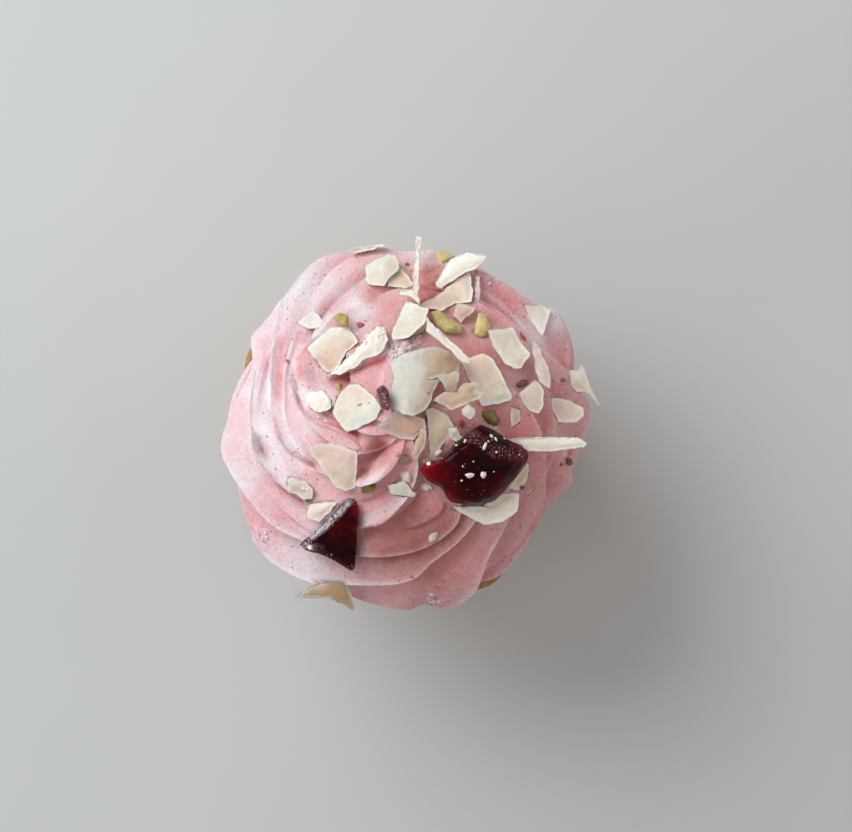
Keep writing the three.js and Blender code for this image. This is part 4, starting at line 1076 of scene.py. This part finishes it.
chipLook = {
    "bevel": 0.12,
    "longest": 0.7,  # longest edge after splitting
    "wave": 0.4,  # height of the slow waves
    "ragged": 0.26,  # unevenness of the edges
    "rounded": 0.3,  # how far the upper side falls to the edge
    "roundedWidth": 0.9,
    # painted highlight in part: the pale cut edge also stands for light on the rims
    "edgeWidth": 0.45,  # how far the pale cut edge reaches in
    "slowWave": 4.5,
    "curl": 0.35,
    # waves of a frosted face and of the edges along X and Y: height, wave and seed
    "frostedWaves": [(1.0, 1.2, 2), (0.6, 0.6, 5)],
    "raggedX": [(1.0, 1.4, 4), (0.4, 0.6, 1)],
    "raggedY": [(1.0, 1.4, 8), (0.4, 0.6, 3)],
    # shade, warm and rosy, then the bearing along which warm and rosy grow, and by how much. These are
    # partly each chip's own tone and partly painted light and shade: a chip is made brighter or darker,
    # or warmer along one side, as it lies in light or shadow.
    "tones": {
        "coconut_01": (0.70, 0.40, 0.08, 12, 0.70, 0.36),
        "coconut_02": (1.10, 0.72, 0.10, 0, 0.10, 0),
        "coconut_03": (1.18, 0.32, 0.06, 0, 0, 0),
        "coconut_04": (1.16, 0.34, 0.22, 60, -0.20, -0.20),
        "coconut_05": (1.03, 0.22, 0.00, 60, 0.05, 0),
        "coconut_06": (0.98, 0.38, 0.02, 90, 0.05, 0),
        "coconut_07": (1.04, 0.78, 0.36, 0, 0, 0), "coconut_08": (1.12, 0.36, 0.26, 0, 0, -0.10),
        "coconut_09": (1.18, 0.26, 0.08, 60, 0.10, 0), "coconut_10": (1.14, 0.12, 0.34, 0, 0, 0),
        "coconut_11": (1.10, -0.05, 0.16, 90, 0, -0.10), "coconut_12": (1.12, 0.08, 0.00, 0, 0, 0),
        "coconut_13": (1.20, 0.16, 0.04, 90, 0.05, 0), "coconut_14": (1.20, 0.60, 0.05, 0, 0, 0),
        "coconut_15": (1.06, 0.72, 0.05, 0, 0, 0), "coconut_16": (1.14, 0.58, 0.06, 45, 0.05, 0),
        "coconut_17": (0.86, 0.55, 0.55, 0, 0.60, 0.30),
        "coconut_18": (0.88, 0.06, 0.18, 225, 0.15, 0.30),
        "coconut_19": (1.04, -0.05, 0.18, 0, 0, 0),
        "coconut_20": (0.86, 0.50, 0.15, 60, 0.70, 0.30),
        "coconut_21": (1.02, 0.00, 0.14, 0, 0, 0), "coconut_22": (0.88, 0.18, 0.02, 45, 0.20, 0),
        "coconut_23": (1.10, 0.15, 0.00, 0, 0, 0), "coconut_24": (1.22, 0.04, 0.00, 135, 0.05, 0),
        "coconut_25": (1.08, 0.46, 0.24, 180, 0.05, 0.18),
        "coconut_26": (0.96, 0.52, 0.42, 0, 0, 0),
        "coconut_27": (0.86, 0.22, 0.04, 45, 0.30, 0), "coconut_28": (0.98, 0.56, 0.14, 0, 0, 0),
        "coconut_29": (1.04, 0.24, 0.00, 0, 0, 0), "coconut_30": (0.96, 0.14, 0.05, 0, 0, 0),
        "coconut_31": (1.15, 0.44, 0.00, 0, 0, 0), "coconut_32": (0.86, 0.08, 0.12, 0, 0, 0),
        "coconut_33": (0.97, 0.15, 0.46, 90, 0.15, -0.20),
        "coconut_34": (0.84, 0.28, 0.26, 90, 0.40, 0),
        "coconut_35": (0.72, 0.80, 0.10, 45, 0.30, 0), "coconut_36": (0.92, 0.10, 0.14, 0, 0, 0),
        "coconut_39": (1.12, 0.14, 0.04, 0, 0, 0), "coconut_40": (1.10, 0.22, 0.05, 0, 0, 0),
        "coconut_42": (1.10, 0.00, 0.36, 0, 0, 0), "coconut_43": (0.92, 0.56, 0.20, 0, 0, 0),
    },
    # rounded lumps, by how often they are smoothed
    "soft": {"coconut_19": 8, "coconut_34": 4, "coconut_36": 3, "coconut_21": 3, "coconut_39": 2},
    # frosted, crumbly chips have a rougher face
    "frosted": {
        "coconut_19": 0.2, "coconut_21": 0.2, "coconut_34": 0.2, "coconut_36": 0.15, "coconut_39": 0.15,
    },
}


def mergedCopy(name):
    bm = bmesh.new()
    bm.from_mesh(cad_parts[name].data)
    bmesh.ops.remove_doubles(bm, verts=bm.verts, dist=2e-6)
    return bm


def splitLong(bm, longest, rounds=3):
    for _ in range(rounds):
        long = [e for e in bm.edges if e.calc_length() > longest * mm]
        if not long:
            break
        bmesh.ops.subdivide_edges(bm, edges=long, cuts=1, use_grid_fill=True)
        bmesh.ops.triangulate(bm, faces=[f for f in bm.faces if len(f.verts) > 4])


def makeChip(name, seed):
    bm = mergedCopy(name)
    low, high = (Vector(corner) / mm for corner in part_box(name))
    middle = (low + high) / 2
    halfLength = max(high.x - low.x, high.y - low.y) / 2
    splitLong(bm, chipLook["longest"])
    rim = sharpEdges(bm, 50)
    rimTree = KDTree(2 * len(rim))
    for k, e in enumerate(rim):
        for m, v in enumerate(e.verts):
            rimTree.insert((v.co.x, v.co.y, 0), 2 * k + m)
    rimTree.balance()
    bmesh.ops.bevel(
        bm, geom=rim, offset=chipLook["bevel"] * mm, affect="EDGES", segments=2, profile=0.5,
        material=-1)
    softened(bm, chipLook["soft"].get(name, 0))
    shade, warm, rosy, bearing, warmGain, rosyGain = chipLook["tones"][name]
    frosted = chipLook["frosted"].get(name, 0.0)
    along = Vector((math.cos(math.radians(bearing)), -math.sin(math.radians(bearing))))
    grainTurn = 2.4 * seed
    grainAlong = Vector((math.cos(grainTurn), math.sin(grainTurn), 0))
    grainSide = Vector((-math.sin(grainTurn), math.cos(grainTurn), 0))
    layers = newLayers(bm, "shade", "warm", "rosy", "edge")
    grainLayer = bm.verts.layers.float_vector.new("grain")
    curl = chipLook["curl"] * math.sin(5 * seed)
    bm.normal_update()
    bm.verts.index_update()
    upper = [v.normal.z > 0.3 for v in bm.verts]
    for v in bm.verts:
        x, y, z = (a / mm for a in v.co)
        fromRim = rimTree.find((v.co.x, v.co.y, 0))[2] / mm
        away = Vector((x - middle.x, y - middle.y))
        share = away.dot(along) / halfLength
        v[grainLayer] = Vector((v.co.dot(grainAlong), v.co.dot(grainSide), v.co.z))
        v[layers["shade"]] = shade
        v[layers["warm"]] = warm + warmGain * share
        v[layers["rosy"]] = rosy + rosyGain * share
        v[layers["edge"]] = math.exp(-(fromRim / chipLook["edgeWidth"]) ** 2)
        lift = chipLook["wave"] * wobble(x, y, 0, chipLook["slowWave"], seed)
        lift += curl * (away.length / halfLength) ** 2
        lift += frosted * waves(x, y, z, chipLook["frostedWaves"], seed)
        if upper[v.index]:
            lift -= chipLook["rounded"] * math.exp(-(fromRim / chipLook["roundedWidth"]) ** 2)
        ragged = chipLook["ragged"] + frosted
        v.co.z += lift * mm
        v.co.x += ragged * mm * waves(x, y, z, chipLook["raggedX"], seed)
        v.co.y += ragged * mm * waves(x, y, z, chipLook["raggedY"], seed)
    return newPiece(name.replace("coconut_", "coconutChip"), bm, coconutMaterial, 50)


chipPieces = []
for index, name in enumerate(sorted(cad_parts)):
    if name.startswith("coconut_"):
        chipPieces.append(makeChip(name, 1.7 * index))
        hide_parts(name)
print("chips made")


# The fruit jelly.

jellyLook = {
    "longest": 0.7,
    "dents": 0.14,
    "dentWaves": [(1.0, 3.0, 0), (0.4, 1.2, 3)],  # height, wave and seed
    "crust": 0.15,  # height of the sugar's crust
    # painted light: bright red zones where light shines through the jelly: place, radius, amount
    "paintedThroughLight": [
        (4.0, -8.2, 3.0, 0.8), (6.5, -9.6, 3.0, 0.35), (8.5, -13.6, 2.4, 0.4),
        (22.8, -4.6, 2.4, 0.4), (11.0, -15.0, 3.0, 0.25), (18.0, -12.8, 3.0, 0.25),
        (-9.4, -16.0, 1.5, 0.5), (-9.4, -20.0, 1.0, 0.35), (-12.5, -19.5, 3.5, 0.12),
    ],
    # sugared zones: line, half width, amount
    "sugar": [
        ([(8.8, -0.2), (11.5, -0.6), (14.8, -2.6), (18.2, -4.6), (23.0, -5.2)], 1.5, 1.0),
        ([(4.4, -7.0), (6.6, -6.0), (9.0, -4.2)], 0.6, 0.8),
        ([(-20.4, -22.6), (-18.8, -23.4), (-17.0, -23.8)], 1.1, 0.9),
        ([(-16.0, -24.6), (-13.0, -26.4), (-10.6, -28.0)], 0.6, 0.5),
    ],
    # frosted edges: line, half width, amount
    "frost": [
        ([(-11.0, -14.0), (-13.6, -16.9), (-16.2, -19.4), (-18.4, -21.2)], 0.75, 0.85),
        ([(-20.8, -23.0), (-19.4, -23.2), (-18.2, -23.6)], 0.7, 0.45),
    ],
}


def nearLines(xs, ys, lines):
    # how near each place is to the lines, from 0 to each line's amount
    nearest = np.zeros(len(xs))
    for line, halfWidth, amount in lines:
        away, _ = lineDistance(xs, ys, line)
        nearest = np.maximum(nearest, amount * np.exp(-(away / halfWidth) ** 4))
    return nearest


def makeJelly(name, seed, smoothAngle, softness):
    bm = mergedCopy(name)
    splitLong(bm, jellyLook["longest"], 4)
    softened(bm, softness)
    layers = newLayers(bm, "paintedThroughLight", "sugar", "frost")
    bm.normal_update()
    xs = np.array([v.co.x for v in bm.verts]) / mm
    ys = np.array([v.co.y for v in bm.verts]) / mm
    sugar = nearLines(xs, ys, jellyLook["sugar"])
    frost = nearLines(xs, ys, jellyLook["frost"])
    paintedThroughLight = np.zeros(len(xs))
    for placeX, placeY, radius, amount in jellyLook["paintedThroughLight"]:
        paintedThroughLight = np.maximum(paintedThroughLight, amount * spot(xs, ys, placeX, placeY, radius))
    for k, v in enumerate(bm.verts):
        x, y, z = (a / mm for a in v.co)
        dent = jellyLook["dents"] * waves(x, y, z, jellyLook["dentWaves"], seed)
        crust = jellyLook["crust"] * float(sugar[k]) * wobble(x, y, z, 0.7, seed + 6)
        v.co += v.normal * (dent + crust) * mm
        v[layers["paintedThroughLight"]] = float(paintedThroughLight[k])
        v[layers["frost"]] = float(frost[k])
        v[layers["sugar"]] = float(sugar[k]) * (0.75 + 0.5 * wobble(x, y, z, 1.4, seed + 9))
    return newPiece(name.replace("jelly_", "fruitJelly"), bm, jellyMaterial, smoothAngle)


jellyPieces = [makeJelly("jelly_01", 5.0, 60, 4), makeJelly("jelly_02", 6.0, 35, 1)]
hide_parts("jelly_01")
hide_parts("jelly_02")
print("jelly made")


# The nuts and the berry.

nutLook = {  # greenness and skin of each piece
    "pistachio_01": (0.28, -0.4),
    "pistachio_02": (0.12, -0.5),
    "pistachio_03": (0.05, -0.3),
    "pistachio_04": (-0.1, 0.1),
    "pistachio_05": (0.55, 0.1),
    "pistachio_06": (1.1, 0.25),
}


lumpLook = {
    "longest": 0.5,
    "swell": 0.12,  # makes up for the smoothing
    "dentWaves": [(1.0, 2.0, 0), (0.5, 0.8, 3)],  # height, wave and seed
}


def makeLump(name, newName, material, seed, dents, tones=(0, 0)):
    bm = mergedCopy(name)
    splitLong(bm, lumpLook["longest"])
    softened(bm, 1)
    bm.normal_update()
    for v in bm.verts:
        x, y, z = (a / mm for a in v.co)
        dent = waves(x, y, z, lumpLook["dentWaves"], seed)
        v.co += v.normal * mm * (dents * dent + lumpLook["swell"])
    fillLayers(bm, {"green": tones[0], "skin": tones[1]})
    return newPiece(newName, bm, material, 60)


lumpPieces = []
for index, name in enumerate(sorted(nutLook)):
    newName = name.replace("pistachio_", "pistachioPiece")
    lumpPieces.append(makeLump(
        name, newName, nutMaterial, 2.3 * index, 0.22, nutLook[name]))
    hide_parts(name)
lumpPieces.append(makeLump("berry_01", "driedBerry", berryMaterial, 4.0, 0.4))
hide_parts("berry_01")
print("nuts and berry made")


# Small pieces that lie on the rest.

def dropOnto(tree, x, y):
    return tree.ray_cast(Vector((x * mm, y * mm, 0.2)), Vector((0, 0, -1)))


def addBit(bm, hit, size, seed, sunk, rough, divisions, bearing=None):
    # one bit of the size (length, width, thickness), lying on the face that was hit
    place, normal = hit[0], hit[1]
    if place is None:
        return
    made = bmesh.ops.create_icosphere(bm, subdivisions=divisions, radius=0.5)
    turn = math.radians(-bearing) if bearing is not None else 11.0 * seed
    for v in made["verts"]:
        jitter = 1 + rough * noise.noise(v.co * 3.0 + Vector((seed, 2 * seed, -seed)))
        v.co = Vector((v.co.x * size[0], v.co.y * size[1], v.co.z * size[2])) * jitter
    spin = Matrix.Rotation(turn, 4, "Z")
    lie = normal.to_track_quat("Z", "Y").to_matrix().to_4x4()
    if bearing is not None:
        # the bearing is kept in the plan
        ahead = Vector((math.cos(turn), math.sin(turn), 0))
        side = normal.cross(ahead).normalized()
        front = side.cross(normal).normalized()
        lie = Matrix((front, side, normal)).transposed().to_4x4()
        spin = Matrix.Identity(4)
    lift = Matrix.Translation(place / mm + normal * size[2] * (0.5 - sunk))
    bmesh.ops.transform(bm, matrix=Matrix.Scale(mm, 4) @ lift @ lie @ spin, verts=made["verts"])


everything = coverTree([creamPiece, *chipPieces, *jellyPieces, *lumpPieces])
creamTree = coverTree([creamPiece])


# Bits too small to be apart from the cream: x, y, length, width, thickness, bearing.
smallBits = {
    "coconut": [
        (0.2, -9.4, 2.6, 2.3, 1.4, 20), (4.0, -11.4, 2.4, 1.7, 1.0, 30),
        (5.4, -21.4, 2.6, 1.5, 0.7, 300),
    ],
    "pistachio": [(-7.3, -11.5, 2.9, 2.0, 1.5, 320)],
    "skin": [(32.2, -6.6, 1.9, 1.3, 0.8, 60)],
}
bitMaterials = {"coconut": coconutCrumbMaterial, "pistachio": nutMaterial, "skin": skinMaterial}
bitTones = {"shade": 0.95, "warm": 0.15, "rosy": 0.3, "edge": 0.0, "green": 1.0, "skin": 0.1}
bitUnevenness = 0.12


def makeSmallBits(kind):
    bm = bmesh.new()
    for index, (x, y, length, width, thickness, bearing) in enumerate(smallBits[kind]):
        hit = dropOnto(everything, x, y)
        addBit(bm, hit, (length, width, thickness), 3.1 * index + 1.7, 0.35, 0.5, 3, bearing)
    for v in bm.verts:
        x, y, z = (a / mm for a in v.co)
        v.co += Vector([wobble(x, y, z, 0.8, seed) for seed in (1, 2, 3)]) * bitUnevenness * mm
    fillLayers(bm, bitTones)
    grainFromPlace(bm)
    bmesh.ops.recalc_face_normals(bm, faces=bm.faces)
    return newPiece(f"{kind}Bits", bm, bitMaterials[kind], 60)


for kind in smallBits:
    makeSmallBits(kind)
print("small bits made")


crumbTones = {
    "shade": 1.1, "warm": 0.0, "rosy": 0.05, "edge": 0.0, "pulp": 0.1, "stain": 0.0, "shadeAmount": 0.0,
}
# Loose crumbs, kind by kind: x, y, spread, count, smallest and largest size.
crumbs = {
    "coconutCrumbs": {
        "material": coconutCrumbMaterial, "slot": "coconut", "rough": 0.8, "flat": 0.5,
        "heaps": [
            (-5.6, 18.6, 1.5, 10, 0.5, 1.3), (-8.6, 17.6, 1.6, 6, 0.4, 1.0),
            (-2.6, 14.6, 1.8, 5, 0.4, 0.9), (-0.4, 22.0, 1.6, 4, 0.3, 0.7),
            (9.6, -3.4, 0.5, 3, 0.5, 0.9), (4.2, -6.6, 0.7, 5, 0.5, 1.0),
            (-16.4, 2.4, 1.6, 7, 0.3, 0.7), (2.6, -10.8, 1.8, 5, 0.3, 0.7),
            (-19.4, -11.6, 1.2, 5, 0.3, 0.7), (24.0, -12.8, 0.9, 5, 0.3, 0.6),
            (11.6, -2.2, 0.6, 3, 0.4, 0.8), (0.0, 24.6, 1.2, 4, 0.3, 0.7),
        ],
    },
    "creamCrumbs": {
        "material": creamCrumbMaterial, "slot": "cream", "rough": 0.8, "flat": 0.55,
        "heaps": [
            (-28.4, -20.8, 1.4, 12, 0.5, 1.3), (5.8, -34.0, 1.4, 10, 0.4, 1.1),
            (16.6, 29.6, 1.4, 9, 0.4, 1.1), (-3.4, 15.4, 1.2, 9, 0.8, 2.4),
            (-0.8, 16.0, 1.3, 12, 0.8, 2.6), (2.4, 17.2, 1.2, 9, 0.7, 2.0),
            (-15.0, 4.0, 1.4, 4, 0.4, 0.9), (7.6, 19.6, 1.0, 5, 0.6, 1.2),
        ],
    },
    "sugarGrains": {
        "material": sugarMaterial, "slot": "jelly", "rough": 0.6, "flat": 0.8,
        "heaps": [
            (12.6, -1.6, 1.6, 14, 0.10, 0.24), (16.0, -3.4, 1.6, 16, 0.10, 0.22),
            (19.6, -4.6, 1.6, 16, 0.10, 0.22), (22.6, -5.2, 1.0, 10, 0.10, 0.20),
            (6.0, -5.8, 1.2, 22, 0.14, 0.40), (-13.0, -16.6, 0.8, 9, 0.10, 0.2),
            (-16.0, -19.2, 0.9, 10, 0.10, 0.2), (-19.0, -22.6, 0.8, 20, 0.12, 0.3),
            (-14.6, -25.6, 1.0, 8, 0.10, 0.2), (-11.0, -27.6, 0.8, 8, 0.10, 0.2),
            (12.6, -10.0, 4.0, 12, 0.10, 0.2),
        ],
    },
    "fruitFlecks": {
        "material": fleckMaterial, "slot": "cream", "rough": 0.5, "flat": 0.35,
        "heaps": [
            (0.0, -26.0, 13.0, 80, 0.18, 0.5), (-22.0, -16.0, 9.0, 40, 0.15, 0.42),
            (24.0, -18.0, 9.0, 60, 0.18, 0.5), (29.0, 8.0, 9.0, 50, 0.18, 0.5),
            (-27.0, 6.0, 8.0, 30, 0.14, 0.36), (-18.0, 27.0, 9.0, 30, 0.15, 0.42),
            (14.0, 26.0, 9.0, 40, 0.18, 0.5), (0.0, 0.0, 24.0, 90, 0.15, 0.42),
        ],
    },
}


def makeCrumbs(name):
    kind = crumbs[name]
    chance = random.Random(name)
    onto = creamTree if name in ("creamCrumbs", "fruitFlecks") else everything
    bm = bmesh.new()
    for x, y, spread, count, smallest, largest in kind["heaps"]:
        for _ in range(count):
            away, turn = spread * math.sqrt(chance.random()), chance.uniform(0, 2 * math.pi)
            hit = dropOnto(onto, x + away * math.cos(turn), y + away * math.sin(turn))
            if hit[0] is None:
                continue
            size = smallest + (largest - smallest) * chance.random() ** 2
            width = size * chance.uniform(0.55, 1.0)
            divisions = 2 if size > 0.45 and name != "fruitFlecks" else 1
            bitSize = (size, width, width * kind["flat"])
            addBit(bm, hit, bitSize, chance.uniform(0, 50), 0.3, kind["rough"], divisions)
    fillLayers(bm, crumbTones)
    grainFromPlace(bm)
    return newPiece(name, bm, kind["material"], 60)


for name in crumbs:
    makeCrumbs(name)
print("crumbs made")


# Single specks, each at its own place: x, y, length, width, thickness, bearing.
specks = {
    "sugarCrystals": {
        "material": sugarMaterial, "slot": "jelly",
        "list": [
            (12.5, -9.2, 2.0, 1.0, 0.6, 5), (15.1, -9.1, 1.4, 1.3, 0.6, 40),
            (15.4, -3.5, 1.6, 0.7, 0.4, 300), (17.7, -4.7, 0.6, 0.5, 0.3, 0),
            (16.7, -1.6, 0.9, 0.7, 0.4, 20), (17.5, -2.2, 0.9, 0.6, 0.4, 60),
            (13.2, -6.5, 0.4, 0.3, 0.2, 0), (11.1, -7.4, 0.5, 0.3, 0.2, 90),
            (10.9, -10.2, 0.5, 0.4, 0.3, 0), (17.2, -8.5, 0.35, 0.3, 0.2, 0),
            (16.1, -2.6, 0.5, 0.4, 0.3, 0), (19.3, -2.1, 0.6, 0.4, 0.3, 0),
            (10.5, -2.4, 1.7, 1.0, 0.7, 20), (6.4, -4.8, 1.7, 1.0, 0.7, 320),
            (5.0, -5.6, 1.2, 0.7, 0.5, 320), (22.2, -5.2, 0.4, 0.3, 0.2, 0),
            (-18.8, -23.5, 1.0, 0.9, 0.6, 0),
        ],
    },
    "redSpots": {
        "material": fleckMaterial, "slot": "berry",
        "list": [
            (-8.9, 20.2, 1.6, 1.1, 0.5, 20), (-11.5, 9.4, 1.0, 0.7, 0.4, 320),
            (23.0, 18.0, 2.0, 1.1, 0.4, 40), (31.0, 9.5, 1.2, 0.9, 0.4, 0),
            (10.9, 1.0, 1.0, 1.8, 0.5, 0), (-23.4, 13.2, 0.8, 0.6, 0.3, 40),
            (30.7, -7.2, 0.8, 0.7, 0.3, 0), (0.2, 32.4, 1.0, 0.6, 0.3, 0),
        ],
    },
    "darkSkins": {
        "material": skinMaterial, "slot": "pistachio",
        "list": [
            (17.5, 30.1, 1.8, 0.9, 0.4, 40), (22.8, 8.8, 2.8, 1.2, 0.5, 340),
            (22.9, -11.7, 1.1, 0.9, 0.4, 0), (8.4, 35.0, 1.6, 0.8, 0.4, 30),
            (-1.1, 15.0, 2.0, 1.0, 0.5, 330), (4.4, 6.8, 0.4, 0.3, 0.2, 0),
        ],
    },
    "greenFlakes": {
        "material": nutMaterial, "slot": "pistachio",
        "list": [
            (-9.0, 4.6, 1.0, 0.45, 0.2, 340), (-7.2, 4.9, 0.5, 0.3, 0.2, 20),
            (-6.3, 19.5, 0.9, 0.6, 0.3, 50), (-7.9, 21.0, 0.5, 0.4, 0.2, 0),
            (-13.2, 8.1, 1.3, 1.9, 0.8, 0), (1.8, 15.5, 0.5, 0.4, 0.2, 0),
        ],
    },
    "huskFibre": {
        "material": coconutCrumbMaterial, "slot": "coconut",
        "tones": {"shade": 0.6, "warm": 0.2, "rosy": 0.75, "edge": 0.0},
        "list": [(-0.2, -6.0, 4.4, 1.5, 1.0, 28), (-1.6, -5.2, 1.0, 0.7, 0.6, 40)],
    },
}


def makeSpecks(name):
    kind = specks[name]
    bm = bmesh.new()
    for index, (x, y, length, width, thickness, bearing) in enumerate(kind["list"]):
        hit = dropOnto(everything, x, y)
        addBit(bm, hit, (length, width, thickness), 2.3 * index + 0.7, 0.2, 0.5, 2, bearing)
    fillLayers(bm, kind.get("tones", {"green": 0.5, "skin": -0.5}))
    return newPiece(name, bm, kind["material"], 60)


for name in specks:
    makeSpecks(name)
print("specks made")
